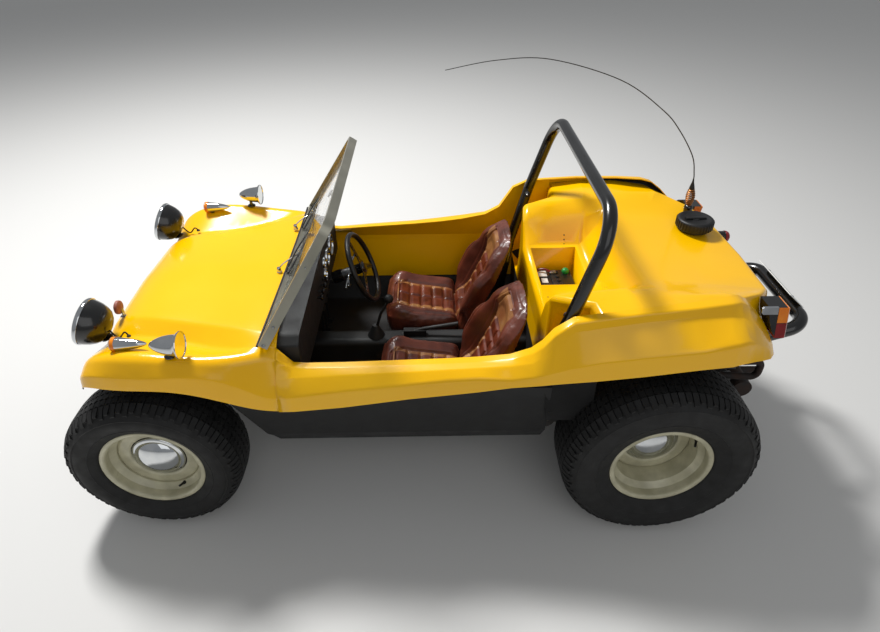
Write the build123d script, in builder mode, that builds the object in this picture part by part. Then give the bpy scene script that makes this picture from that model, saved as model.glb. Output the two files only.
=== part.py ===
from build123d import *
import math
import os

# Open two-seat dune buggy, millimetres. X points forward, Y to the vehicle's left, Z up, ground at Z = 0.

# driving dimensions
wheelbase = 2060
front_axle_x = 1200
front_tyre_radius = 352
rear_tyre_radius = 398
front_hub_level = 335
rear_hub_level = 355
front_tyre_y = (470, 722)
rear_tyre_y = (470, 778)
bead_radius = 190
flange_height = 17
barrel_wall = 4
front_dish = 70
rear_dish = 140
hub_bore = 17
king_y = 425
king_pin_radius = 10
shell_wall = 5
lip_half_width = 552
lip_height = 768
rear_lip_height = 1030
floor_height = 320
floor_half_width = 530
floor_wall = 4
tunnel_half_width = 72
tunnel_top = 470
cowl_offset = 555
rear_wall_offset = 460
rear_wall_z = 560
seat_y = 285
seat_width = 420
seat_base_height = 66
bar_tube = 50
bar_top_z = 1358
bar_corner_y = 534
glass_rake = 32.5
glass_height = 480
frame_depth = 36
frame_band = 18
wheel_offset = 245
wheel_y = -275
wheel_z = 690
wheel_radius = 172
column_tilt = 22
column_radius = 16
beam_offset = 130
beam_tube = 56
well_offset = 145
well_y = -90
well_size = (220, 330, 250)
battery_size = (180, 250, 150)
box_shift = 30

# clearances
seat_gap = 0.3
running_fit = 0.1
running_gap = 6

# places that follow from them
rear_axle_x = front_axle_x - wheelbase
cowl_x = front_axle_x - cowl_offset
rear_wall_x = rear_axle_x + rear_wall_offset
wheel_centre = (cowl_x - wheel_offset, wheel_y, wheel_z)
well_x = rear_wall_x - well_offset
drum_radius = bead_radius - 66
hub_cap_radius = drum_radius - 16
front_hub_z = front_hub_level
rear_hub_z = rear_hub_level
rim_radius = bead_radius + flange_height
front_flange_y = front_tyre_y[1] - 28
rear_flange_y = rear_tyre_y[1] - 32
floor_top = floor_height + floor_wall
seat_base_top = floor_top + seat_gap + seat_base_height
firewall_x = front_axle_x - 340
pan_rear_x = rear_wall_x - shell_wall / 2 - floor_wall / 2
beam_x = front_axle_x + beam_offset
# the body is drawn level; it stands nose down on its unequal tyres, the middle of its box at the origin
hub_span = math.hypot(wheelbase, rear_hub_level - front_hub_level)
hub_rise = math.atan2(rear_hub_level - front_hub_level, wheelbase)
lean = math.asin((rear_tyre_radius - front_tyre_radius) / hub_span) - hub_rise
lift = front_tyre_radius + front_axle_x * math.sin(lean) - front_hub_level * math.cos(lean)
stance = Location((box_shift, 0, lift), (0, math.degrees(lean), 0))

os.makedirs("parts", exist_ok=True)


def save(piece, label):
    standing = stance * piece
    standing.label = label
    export_step(standing, f"parts/{label}.step")


def bent_bar(points, radius, bend):
    # round tube outline swept along straight runs with rounded bends
    with BuildPart() as bar:
        with BuildLine() as path:
            FilletPolyline(*points, radius=bend)
        with BuildSketch(Plane(origin=path.line @ 0, z_dir=path.line % 0)):
            Circle(radius)
        sweep()
    return bar.part


def rear_face(shape, y, z, reach):
    # x at which a round foot of this reach just stays behind the tail at a point
    turns = [math.radians(45 * i) for i in range(8)]
    spots = [(y, z)] + [(y + reach * math.cos(t), z + reach * math.sin(t)) for t in turns]
    depths = []
    for py, pz in spots:
        hits = shape.find_intersection_points(Axis((-3000, py, pz), (1, 0, 0)))
        depths += [min(point.X for point, normal in hits)] if hits else []
    return min(depths) - seat_gap


def rest_height(shape, x, y, reach):
    # lowest height at which a round foot of this reach clears the surface below it
    turns = [math.radians(20 * i) for i in range(18)]
    spots = [(x, y)] + [(x + reach * math.cos(t), y + reach * math.sin(t)) for t in turns]
    heights = []
    for px, py in spots:
        hits = shape.find_intersection_points(Axis((px, py, 3000), (0, 0, -1)))
        heights += [point.Z for point, normal in hits]
    return max(heights) + seat_gap


# front moulding: cross sections from nose to cowl
# columns: x, crown_z, then y and z of: shoulder, root, crest, crease, edge
front_rows = [
    (front_axle_x + 185, 766, 300, 752, 400, 728, 560, 752, 600, 742, 612, 704),
    (front_axle_x + 145, 818, 318, 804, 408, 776, 584, 824, 636, 790, 644, 744),
    (front_axle_x + 50, 858, 340, 842, 424, 802, 612, 874, 662, 808, 668, 752),
    (front_axle_x - 140, 874, 385, 856, 462, 806, 630, 884, 678, 812, 684, 754),
    (firewall_x, 886, 440, 866, 530, 822, 622, 864, 668, 790, 675, 694),
    (cowl_x + 70, 892, 486, 874, 553, 854, 603, 842, 662, 708, 669, 638),
    (cowl_x, 894, 500, 877, 550, 846, 585, 812, 660, 690, 667, 628),
]


def front_outline(row):
    x, crown_z, *pairs = row
    half = [(-y, z) for y, z in reversed(list(zip(pairs[0::2], pairs[1::2])))]
    return half + [(0, crown_z)] + [(-y, z) for y, z in reversed(half)]


front_radii = [14, 44, 40, 60, 900, 60, 40, 44, 14]
with BuildPart() as front_moulding:
    for row in front_rows:
        with BuildSketch(Plane.YZ.offset(row[0])):
            with BuildLine():
                FilletPolyline(*front_outline(row), radius=front_radii)
                offset(amount=shell_wall, side=Side.RIGHT)
            make_face()
    loft()

# side mouldings: cross sections from cowl to tail, left side
# columns: x, then y and z of: lip, rim, neck, belly, edge
side_rows = [
    (cowl_x, 549.5, 845.4, 584.5, 811.4, 625.5, 749.4, 659.5, 689.4, 666.4, 627.4),
    (cowl_x - 55, 547, 767, 576, 765, 611, 746, 660, 694, 667, 628),
    (cowl_x - 105, 546, 762, 575, 760, 610, 745, 659, 700, 665, 631),
    (cowl_x - 245, lip_half_width, lip_height, 580, 766, 612, 756, 654, 716, 660, 640),
    (rear_wall_x + 540, lip_half_width + 6, lip_height + 13, 587, 779, 617, 771, 652, 744, 658, 678),
    (rear_wall_x + 400, lip_half_width + 12, lip_height + 22, 593, 789, 622, 784, 654, 763, 660, 696),
    (rear_wall_x + 290, 570, 801, 599, 799, 627, 795, 662, 776, 667, 716),
    (rear_wall_x + 165, 580, 821, 609, 819, 636, 810, 672, 776, 676, 744),
    (rear_wall_x + 90, 590, 859, 621, 856, 648, 834, 680, 795, 684, 757),
    (rear_axle_x + 515, 604, 906, 637, 903, 653, 868, 684, 808, 688, 764),
    (rear_axle_x + 480, 606, 961, 640, 957, 651, 924, 686, 820, 690, 770),
    (rear_axle_x + 410, 594, 1002, 624, 999, 634, 968, 690, 846, 695, 781),
    (rear_axle_x + 320, 590, 1012, 619, 1009, 628, 978, 695, 873, 700, 793),
    (rear_axle_x + 160, 580, 1025, 607, 1022, 616, 992, 702, 901, 707, 818),
    (rear_axle_x - 40, 554, rear_lip_height + 3, 587, 1029, 601, 999, 704, 926, 708, 848),
    (rear_axle_x - 160, 528, rear_lip_height + 5, 567, 1031, 592, 992, 692, 944, 700, 854),
    (rear_axle_x - 205, 508, rear_lip_height, 548, 1024, 588, 984, 676, 940, 690, 858),
    (rear_axle_x - 250, 490, 1000, 524, 994, 584, 962, 650, 915, 678, 856),
    (rear_axle_x - 290, 470, 962, 506, 957, 580, 926, 632, 888, 662, 846),
    (rear_axle_x - 330, 455, 922, 492, 917, 568, 886, 612, 862, 640, 834),
    (rear_axle_x - 365, 440, 884, 476, 879, 536, 858, 574, 844, 600, 822),
    (rear_axle_x - 380, 434, 866, 468, 862, 515, 846, 550, 834, 574, 812),
]
with BuildPart() as side_moulding:
    for x, *pairs in side_rows:
        with BuildSketch(Plane.YZ.offset(x)):
            with BuildLine():
                FilletPolyline(*zip(pairs[0::2], pairs[1::2]), radius=[9, 16, 18])
                offset(amount=shell_wall, side=Side.LEFT)
            make_face()
    loft(ruled=True)
    mirror(about=Plane.XZ)

# rear moulding: sections across the vehicle, wheel humps, centre shelf and sloping deck
# columns: y at the wall, y at the tail,
# then x and z of: foot, pocket, wall top, shelf, ridge, deck, tail edge, tail foot
rear_rows = [
    (0, 0, 0, 0, -6, 100, 0, 800, -290, 800, -380, 955, -640, 928, -945, 902, -972, 762),
    (285, 285, 0, 0, -6, 100, 0, 800, -290, 806, -390, 968, -640, 942, -925, 910, -958, 768),
    (335, 330, 0, 0, -6, 100, -2, 905, -295, 925, -400, 975, -640, 952, -890, 928, -935, 772),
    (400, 390, 0, 0, -6, 100, -4, 968, -300, 996, -420, 990, -640, 972, -838, 956, -892, 784),
    (470, 452, 0, 5, -135, 80, -146, 976, -316, 1000, -440, 1002, -676, 1000, -732, 982, -884, 816),
    (629, 570, 0, 5, -150, 80, -166, 976, -320, 1002, -500, 1006, -655, 988, -700, 964, -840, 812),
]
mould_front_x = rear_wall_x - 50
mould_rear_x = rear_axle_x - 360
with BuildPart() as rear_moulding:
    for row in [(-r[0], -r[1]) + r[2:] for r in reversed(rear_rows[1:])] + rear_rows:
        wall_y, tail_y, *pairs = row
        xs = [rear_wall_x - mould_front_x + x for x in pairs[0::2]]
        zs = [rear_wall_z + z if i < 2 else z for i, z in enumerate(pairs[1::2])]
        along = Vector(mould_front_x - mould_rear_x, wall_y - tail_y, 0).normalized()
        across = Plane(origin=(mould_front_x, wall_y, 0), x_dir=along, z_dir=along.cross(Vector(0, 0, 1)))
        with BuildSketch(across):
            with BuildLine():
                FilletPolyline(*zip(xs, zs), radius=[20, 30, 30, 40, 60, 30])
                offset(amount=shell_wall, side=Side.LEFT)
            make_face()
    loft(ruled=True)

# body shell: the mouldings bonded, with an open-top well for the battery
well_floor = 800 - well_size[2]
with BuildPart() as body_shell:
    add(front_moulding.part)
    add(side_moulding.part)
    add(rear_moulding.part)
    with Locations((well_x, well_y, well_floor)):
        Box(well_size[0], well_size[1], well_size[2] + 60, align=(Align.CENTER, Align.CENTER, Align.MIN),
            mode=Mode.SUBTRACT)
        Box(well_size[0] + 2 * shell_wall, well_size[1] + 2 * shell_wall, well_size[2] - 1,
            align=(Align.CENTER, Align.CENTER, Align.MIN))
        Box(well_size[0], well_size[1], well_size[2] + 60, align=(Align.CENTER, Align.CENTER, Align.MIN),
            mode=Mode.SUBTRACT)
    with Locations((well_x, well_y, well_floor)):
        Box(well_size[0] + 2 * shell_wall, well_size[1] + 2 * shell_wall, shell_wall,
            align=(Align.CENTER, Align.CENTER, Align.MAX))
save(body_shell.part, "body_shell")

# steering column line, needed by what it passes through
tilt = math.radians(column_tilt)
column_dir = Vector(math.cos(tilt), 0, -math.sin(tilt))
wheel_at = Vector(*wheel_centre)
hub_length = 43
box_length = 90
saddle_x = beam_x - beam_tube / 2 - seat_gap
column_length = (saddle_x - 20 - wheel_centre[0]) / math.cos(tilt) - box_length


def on_column(distance, x_dir=None):
    return Plane(origin=wheel_at + column_dir * distance, x_dir=(0, 1, 0), z_dir=column_dir)


# floor: hull sides and floor in one pan, sloped footwell front, firewall, rear bulkhead, tunnel
hull_rows = [(634, 700), (632, 650), (600, 430), (floor_half_width, floor_height)]
pan_outline = [(-y, z) for y, z in hull_rows] + [(y, z) for y, z in reversed(hull_rows)]
tunnel_outline = [(-tunnel_half_width, floor_height + 2), (-tunnel_half_width + 22, tunnel_top),
                  (tunnel_half_width - 22, tunnel_top), (tunnel_half_width, floor_height + 2)]
slope = [(firewall_x - 148, floor_height), (firewall_x - 138, 400), (firewall_x, 668)]
with BuildPart() as hull_ends:
    # full hull cross section, kept only where the sloped front and the rear bulkhead run
    with BuildSketch(Plane.YZ.offset(pan_rear_x)):
        with BuildLine():
            hull_edge = FilletPolyline(*pan_outline, radius=[20, 20, 24, 24, 20, 20])
            Line(hull_edge @ 1, hull_edge @ 0)
        make_face()
    extrude(amount=firewall_x - pan_rear_x)
    with BuildSketch(Plane.XZ):
        with BuildLine():
            Polyline(*slope, *[(x - floor_wall - 2, z) for x, z in reversed(slope)], close=True)
        make_face()
        with Locations((pan_rear_x, floor_height)):
            Rectangle(floor_wall, rear_wall_z - seat_gap - floor_height, align=(Align.MIN, Align.MIN))
    extrude(amount=800, both=True, mode=Mode.INTERSECT)
firewall_row = [row for row in front_rows if row[0] == firewall_x][0]
with BuildPart() as floor_pan:
    with BuildSketch(Plane.YZ.offset(pan_rear_x)):
        with BuildLine():
            FilletPolyline(*pan_outline, radius=[20, 20, 24, 24, 20, 20])
            offset(amount=floor_wall, side=Side.LEFT)
        make_face()
        with BuildLine():
            FilletPolyline(*tunnel_outline, radius=30)
            offset(amount=floor_wall, side=Side.RIGHT)
        make_face()
    extrude(amount=firewall_x - pan_rear_x)
    with BuildSketch(Plane.XZ):
        with BuildLine():
            Polyline((slope[0][0], 0), *slope, (firewall_x + 400, slope[2][1]), (firewall_x + 400, 0),
                     close=True)
        make_face()
    extrude(amount=800, both=True, mode=Mode.SUBTRACT)
    add(hull_ends.part)
    # firewall up to the underside of the hood
    with BuildSketch(Plane.YZ.offset(firewall_x - floor_wall)):
        with BuildLine():
            hood_edge = FilletPolyline(*front_outline(firewall_row), radius=front_radii)
            Line(hood_edge @ 1, hood_edge @ 0)
        make_face()
        offset(amount=-shell_wall - 2.5, mode=Mode.REPLACE)
        with BuildLine():
            Polyline(*pan_outline[1::-1], (-634, 760), (634, 760), *pan_outline[:-3:-1], close=True)
        make_face()
    extrude(amount=floor_wall)
    with BuildSketch(on_column(200)):
        Circle(column_radius + running_gap)
    extrude(amount=600, mode=Mode.SUBTRACT)
    # the rear moulding's wall stands on the bulkhead between the hull sides
    with Locations((rear_wall_x + seat_gap, 0, rear_wall_z - seat_gap)):
        Box(100, 1400, 400, align=(Align.MAX, Align.CENTER, Align.MIN), mode=Mode.SUBTRACT)
save(floor_pan.part, "floor_pan")

# dashboard against the cowl
dash_depth = 80
dash_rows = [(534, 652), (534, 838), (495, 868)]
with BuildPart() as dashboard:
    with BuildSketch(Plane.YZ.offset(cowl_x - dash_depth)):
        with BuildLine():
            dash_edge = FilletPolyline(*[(-y, z) for y, z in dash_rows], (0, 886), *reversed(dash_rows),
                                       radius=[12, 40, 900, 40, 12])
            Line(dash_edge @ 1, dash_edge @ 0)
        make_face()
    extrude(amount=dash_depth - seat_gap)
    with BuildSketch(Plane.YZ.offset(cowl_x - dash_depth + 3)):
        with BuildLine():
            dash_inner = FilletPolyline(*[(-y + 3, z - 3) for y, z in dash_rows], (0, 883),
                                        *[(y - 3, z - 3) for y, z in reversed(dash_rows)],
                                        radius=[9, 37, 897, 37, 9])
            Line(dash_inner @ 1, dash_inner @ 0)
        make_face()
    extrude(amount=dash_depth, mode=Mode.SUBTRACT)
save(dashboard.part, "dashboard")

# windshield: leaning channel frame, glass pane let into it
rake = math.radians(glass_rake)
glass_x = cowl_x + frame_depth / 2 * math.cos(rake) + 4
frame_foot = frame_depth / 2 * math.sin(rake)
glass_z = rest_height(front_moulding.part, glass_x - frame_depth / 2 * math.cos(rake), 0, 1) + frame_foot
glass_plane = Plane(origin=(glass_x, 0, glass_z), x_dir=(0, 1, 0), z_dir=(math.cos(rake), 0, math.sin(rake)))
pane_rows = [(436, glass_height), (588, -50), (500, -13)]
pane_outline = [(-y, h) for y, h in pane_rows] + [(0, 0)] + [(y, h) for y, h in reversed(pane_rows)]
pane_radii = (70, 10, 60, 1500, 60, 10, 70)
with BuildPart() as windshield_frame:
    with BuildSketch(glass_plane):
        with BuildLine():
            FilletPolyline(*pane_outline, close=True, radius=pane_radii)
        make_face()
        offset(amount=-frame_band, mode=Mode.SUBTRACT)
    extrude(amount=frame_depth / 2, both=True)
with BuildPart() as windshield_glass:
    with BuildSketch(glass_plane):
        with BuildLine():
            FilletPolyline(*pane_outline, close=True, radius=pane_radii)
        make_face()
        offset(amount=-frame_band - seat_gap, mode=Mode.REPLACE)
    extrude(amount=2.5, both=True)
save(windshield_frame.part, "windshield_frame")
save(windshield_glass.part, "windshield_glass")

# roll bar behind the seats, feet on the floor
foot_z = floor_top + seat_gap
bar_foot_x = rear_wall_x + 90
bar_leg = [(bar_foot_x - 250, bar_corner_y, bar_top_z), (bar_foot_x - 142, 560, 985),
           (bar_foot_x - 62, 528, 700), (bar_foot_x, 470, foot_z + 12)]
bar_path = [(x, -y, z) for x, y, z in reversed(bar_leg)] + bar_leg
roll_bar = bent_bar(bar_path, bar_tube / 2, [60, 60, 150, 150, 60, 60])
with BuildPart() as bar_feet:
    with Locations(*[(bar_foot_x, side * 470, foot_z) for side in (1, -1)]):
        Cylinder(42, 16, align=(Align.CENTER, Align.CENTER, Align.MIN))
roll_bar_piece = roll_bar + bar_feet.part
save(roll_bar_piece, "roll_bar")

# seats: pedestals, cushions and backs, one of each a side
back_lean = math.radians(23)
seat_x = rear_wall_x + 355
back_foot = (seat_x, seat_base_top + seat_gap)
cushion_rear = [(back_foot[0] - h * math.tan(back_lean), back_foot[1] + h) for h in (0, 110)]
with BuildPart() as seat_bases:
    with BuildSketch(Plane.XZ.offset(-seat_y - seat_width / 2 + 50)):
        with BuildLine():
            Polyline((seat_x + 2, foot_z), (seat_x + 2, seat_base_top), (seat_x + 295, seat_base_top),
                     (seat_x + 270, foot_z), close=True)
        make_face()
    extrude(amount=seat_width - 100)
    mirror(about=Plane.XZ)
with BuildPart() as seat_cushions:
    with BuildSketch(Plane.XZ.offset(-seat_y - seat_width / 2)):
        with BuildLine():
            FilletPolyline(*cushion_rear, (seat_x + 300, seat_base_top + 165),
                           (seat_x + 343, seat_base_top + 125), (seat_x + 307, seat_base_top + seat_gap),
                           close=True, radius=[1, 20, 30, 30, 12])
        make_face()
    extrude(amount=seat_width)
    fillet(seat_cushions.edges().filter_by(Axis.Y, reverse=True), 14)
    mirror(about=Plane.XZ)
back_plane = Plane(origin=(back_foot[0] - 0.4, seat_y, back_foot[1]), x_dir=(0, 1, 0),
                   z_dir=(math.cos(back_lean), 0, math.sin(back_lean)))
with BuildPart() as seat_backs:
    with BuildSketch(back_plane):
        with BuildLine():
            FilletPolyline((-seat_width / 2, 0), (-seat_width / 2 - 10, 330), (-140, 600), (140, 600),
                           (seat_width / 2 + 10, 330), (seat_width / 2, 0), close=True,
                           radius=(20, 140, 60, 60, 140, 20))
        make_face()
    extrude(amount=-70)
    fillet(seat_backs.faces().sort_by(Axis.X)[0].edges(), 18)
    mirror(about=Plane.XZ)
save(seat_bases.part, "seat_bases")
save(seat_cushions.part, "seat_cushions")
save(seat_backs.part, "seat_backs")

# steering column with sleeve, stalks, box and saddle on the beam, and the wheel
with BuildPart() as steering_column:
    with BuildSketch(on_column(hub_length + seat_gap)):
        Circle(26)
    extrude(amount=130)
    with BuildSketch(on_column(hub_length + seat_gap)):
        Circle(column_radius)
    extrude(amount=column_length)
    with BuildSketch(on_column(column_length)):
        Rectangle(84, 70)
    extrude(amount=box_length)
    with Locations(wheel_at + column_dir * 80):
        Cylinder(5, 300, rotation=(90, 0, 0))
    with Locations((saddle_x, wheel_centre[1], front_hub_z + 60)):
        Box(60, 70, 76, align=(Align.MAX, Align.CENTER, Align.CENTER))
save(steering_column.part, "steering_column")
with BuildPart() as steering_wheel:
    with BuildSketch(Plane(origin=wheel_at, x_dir=(0, 1, 0), z_dir=Vector(0, 1, 0).cross(-column_dir))):
        with Locations((wheel_radius, 0)):
            Circle(14)
    revolve(axis=Axis(wheel_at, column_dir))
    with BuildSketch(on_column(-4)):
        Circle(34)
        with PolarLocations(0, 3, start_angle=90):
            with Locations((wheel_radius / 2, 0)):
                Rectangle(wheel_radius, 26)
    extrude(amount=8)
    with BuildSketch(on_column(-14)):
        Circle(30)
    extrude(amount=14 + hub_length)
save(steering_wheel.part, "steering_wheel")

# controls on the tunnel and the floor
tunnel_seat = tunnel_top + seat_gap
lever_x = cowl_x - 315
brake_x = rear_wall_x + 540
with BuildPart() as gear_lever:
    with Locations((lever_x, 0, tunnel_seat)):
        Cone(42, 14, 60, align=(Align.CENTER, Align.CENTER, Align.MIN))
    add(bent_bar([(lever_x, 0, tunnel_seat + 30), (lever_x - 30, 0, tunnel_seat + 130),
                  (lever_x - 68, 0, tunnel_seat + 200)], 7, 60))
    with Locations((lever_x - 72, 0, tunnel_seat + 212)):
        Sphere(22)
save(gear_lever.part, "gear_lever")
with BuildPart() as handbrake:
    with Locations((brake_x, 0, tunnel_seat)):
        Box(110, 30, 30, align=(Align.CENTER, Align.CENTER, Align.MIN))
    add(bent_bar([(brake_x + 10, 0, tunnel_seat + 18), (brake_x - 50, 0, tunnel_seat + 34),
                  (brake_x - 210, 0, tunnel_seat + 62)], 10, 60))
save(handbrake.part, "handbrake")
with BuildPart() as pedals:
    for y in (-170, -245, -320):
        with Locations((firewall_x - 240, y, foot_z)):
            Box(40, 34, 14, align=(Align.CENTER, Align.CENTER, Align.MIN))
            Box(12, 12, 170, align=(Align.CENTER, Align.CENTER, Align.MIN))
        with Locations((firewall_x - 248, y, foot_z + 165)):
            Box(10, 54, 50, rotation=(0, -20, 0))
save(pedals.part, "pedals")

# battery in its well
with BuildPart() as battery:
    with Locations((well_x, well_y, well_floor + seat_gap)):
        Box(*battery_size, align=(Align.CENTER, Align.CENTER, Align.MIN))
    chamfer(battery.edges().group_by(Axis.Z)[-1], 8)
    with Locations(*[(well_x, well_y + i, well_floor + seat_gap + battery_size[2]) for i in (-85, 85)]):
        Cylinder(9, 18, align=(Align.CENTER, Align.CENTER, Align.MIN))
save(battery.part, "battery")

# fuel cap and antenna on the rear deck
cap_at = (rear_axle_x - 330, -200)
cap_radius = 84
cap_z = rest_height(rear_moulding.part, *cap_at, cap_radius - 14)
with BuildPart() as fuel_cap:
    with Locations((*cap_at, cap_z)):
        Cylinder(cap_radius - 14, 10, align=(Align.CENTER, Align.CENTER, Align.MIN))
    with Locations((*cap_at, cap_z + 10)):
        Cylinder(cap_radius, 46, align=(Align.CENTER, Align.CENTER, Align.MIN))
    chamfer(fuel_cap.edges().group_by(Axis.Z)[-1], 6)
save(fuel_cap.part, "fuel_cap")
mast_at = (rear_axle_x - 355, -352)
mast_z = rest_height(rear_moulding.part, *mast_at, 20)
with BuildPart() as antenna:
    with Locations((*mast_at, mast_z)):
        Cylinder(20, 8, align=(Align.CENTER, Align.CENTER, Align.MIN))
    with Locations((*mast_at, mast_z + 22)):
        Sphere(19)
    with Locations((*mast_at, mast_z + 36)):
        Cone(10, 18, 50, align=(Align.CENTER, Align.CENTER, Align.MIN))
    with Locations((*mast_at, mast_z + 86)):
        Cone(18, 6, 50, align=(Align.CENTER, Align.CENTER, Align.MIN))
    whip = [(11, -368, 1180), (114, -398, 1329), (215, -420, 1425), (415, -440, 1545), (735, -450, 1638),
            (1200, -450, 1590)]
    add(bent_bar([(*mast_at, mast_z + 120)] + [(mast_at[0] + x, y, z) for x, y, z in whip], 3, 150))
save(antenna.part, "antenna")

# front axle: two beam tubes, towers, trailing arms with king pin eyes, frame head under the floor
arm_reach = 60
arm_thick = 30
arm_beam_y = king_y - 40
splay = math.degrees(math.atan2(king_y - arm_beam_y, beam_offset))
arm_span = math.hypot(beam_offset, king_y - arm_beam_y)
with BuildPart() as front_axle:
    for z in (front_hub_z - arm_reach, front_hub_z + arm_reach):
        with Locations((beam_x, 0, z)):
            Cylinder(beam_tube / 2, 2 * arm_beam_y, rotation=(90, 0, 0))
        with BuildSketch(Plane.XY.offset(z - arm_thick / 2)):
            for side in (1, -1):
                with Locations(((beam_x + front_axle_x) / 2, side * (arm_beam_y + king_y) / 2)):
                    SlotCenterToCenter(arm_span, 34, rotation=-side * splay)
        extrude(amount=arm_thick)
    for side in (1, -1):
        with Locations((beam_x, side * (arm_beam_y - 32), front_hub_z)):
            Box(50, 30, 250)
        with Locations((front_axle_x, side * king_y, front_hub_z)):
            Cylinder(king_pin_radius + running_fit, 300, mode=Mode.SUBTRACT)
    with Locations((beam_x + 20, 0, floor_height - seat_gap)):
        Box(beam_x - slope[0][0] + 130, 150, 58, align=(Align.MAX, Align.CENTER, Align.MAX))
save(front_axle.part, "front_axle")

# steering knuckles on their king pins, and the rod that joins their arms
steer_arm = 118
steer_arm_z = front_hub_z - 5
arm_turn = math.degrees(math.atan2(24, steer_arm))
backing_y = front_flange_y - front_dish - 84
from_low_end = (Align.CENTER, Align.CENTER, Align.MIN)
for name, side in (("left", 1), ("right", -1)):
    with BuildPart() as knuckle:
        with Locations((front_axle_x, side * king_y, front_hub_z)):
            Cylinder(king_pin_radius, 2 * arm_reach + arm_thick + 24)
            Cylinder(22, 2 * arm_reach - arm_thick - running_gap)
        with Locations((front_axle_x, side * king_y, front_hub_z)):
            Cylinder(20, backing_y - king_y, rotation=(-side * 90, 0, 0), align=from_low_end)
            Cylinder(hub_bore - running_fit, backing_y + 122 - king_y, rotation=(-side * 90, 0, 0),
                     align=from_low_end)
        with Locations((front_axle_x, side * backing_y, front_hub_z)):
            Cylinder(drum_radius - 4, 5, rotation=(-side * 90, 0, 0), align=from_low_end)
        with BuildSketch(Plane.XY.offset(steer_arm_z)):
            with Locations((front_axle_x - steer_arm / 2, side * (king_y - 12))):
                SlotCenterToCenter(math.hypot(steer_arm, 24), 28, rotation=side * arm_turn)
        extrude(amount=10)
    save(knuckle.part, f"{name}_knuckle")
rod_x = front_axle_x - steer_arm
rod_y = king_y - 24
with BuildPart() as tie_rod:
    with Locations((rod_x, 0, steer_arm_z + 10 + seat_gap + 9)):
        Cylinder(8, 2 * rod_y, rotation=(90, 0, 0))
    with Locations(*[(rod_x, side * rod_y, steer_arm_z + 10 + seat_gap) for side in (1, -1)]):
        Cylinder(13, 18, align=(Align.CENTER, Align.CENTER, Align.MIN))
save(tie_rod.part, "tie_rod")

# wheels: a rim with its hub cap and drum, and a tyre, turned about Y
# columns: name, side, x, hub height, tyre radius, tyre y from the middle, outer flange y, dish depth
front_wheel = (front_axle_x, front_hub_z, front_tyre_radius, front_tyre_y, front_flange_y, front_dish)
rear_wheel = (rear_axle_x, rear_hub_z, rear_tyre_radius, rear_tyre_y, rear_flange_y, rear_dish)
wheels = [
    ("front_left", 1, *front_wheel),
    ("front_right", -1, *front_wheel),
    ("rear_left", 1, *rear_wheel),
    ("rear_right", -1, *rear_wheel),
]
drum_depth = 72
bead_gap = 0.3
tread_wall = 22
for name, side, x, hub_z, tyre_radius, tyre_y, flange_y, dish in wheels:
    inner_y = tyre_y[0] + 28
    disc_y = flange_y - dish
    inside = bead_radius - barrel_wall
    well_radius = bead_radius - 22
    well_inside = well_radius - barrel_wall
    disc_bend = well_inside - 14
    # half sections in radius and y, left-hand wheel
    rim_outline = [
        (hub_bore, disc_y - drum_depth), (drum_radius, disc_y - drum_depth), (drum_radius, disc_y - 8),
        (disc_bend, disc_y - 8), (well_inside, disc_y - 20), (well_inside, inner_y + 60),
        (inside, inner_y + 38), (inside, inner_y + 4), (rim_radius, inner_y), (rim_radius, inner_y + 5),
        (bead_radius, inner_y + 10), (bead_radius, inner_y + 34), (well_radius, inner_y + 58),
        (well_radius, flange_y - 60), (bead_radius, flange_y - 36), (bead_radius, flange_y - 10),
        (rim_radius, flange_y - 5), (rim_radius, flange_y), (inside, flange_y - 4), (inside, flange_y - 40),
        (well_inside, flange_y - 62), (well_inside, disc_y - 4), (disc_bend, disc_y),
        (hub_cap_radius, disc_y - 2), (hub_cap_radius, disc_y + 8), (hub_cap_radius - 18, disc_y + 28),
        (50, disc_y + 40), (hub_bore, disc_y + 42),
    ]
    # tyre section from the inner bead round the crowned tread to the outer bead, then back inside
    low, high = tyre_y
    bead = bead_radius + bead_gap
    over = rim_radius + bead_gap
    widest = (over + tyre_radius) / 2 + 4
    tyre_outline = [
        (bead, inner_y + 10 + bead_gap), (over, inner_y + 5 + bead_gap), (over + 5, inner_y - 3),
        (widest, low), (tyre_radius - 40, low + 7), (tyre_radius - 20, low + 20), (tyre_radius - 5, low + 50),
        (tyre_radius, low + 90), (tyre_radius, high - 90), (tyre_radius - 5, high - 50),
        (tyre_radius - 20, high - 20), (tyre_radius - 40, high - 7), (widest, high), (over + 5, flange_y + 3),
        (over, flange_y - 5 - bead_gap), (bead, flange_y - 10 - bead_gap), (bead, flange_y - 26),
        (over + 6, flange_y - 14), (widest, high - 12), (tyre_radius - 44, high - 22),
        (tyre_radius - tread_wall, high - 60), (tyre_radius - tread_wall, low + 60),
        (tyre_radius - 44, low + 22), (widest, low + 12), (over + 6, inner_y + 14), (bead, inner_y + 26),
    ]
    for suffix, outline in (("rim", rim_outline), ("tyre", tyre_outline)):
        with BuildPart() as turned:
            with BuildSketch(Plane.YZ):
                with BuildLine():
                    Polyline(*[(side * y, radius) for radius, y in outline], close=True)
                make_face()
            revolve(axis=Axis.Y)
        save(Location((x, 0, hub_z)) * turned.part, f"{name}_{suffix}")

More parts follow.
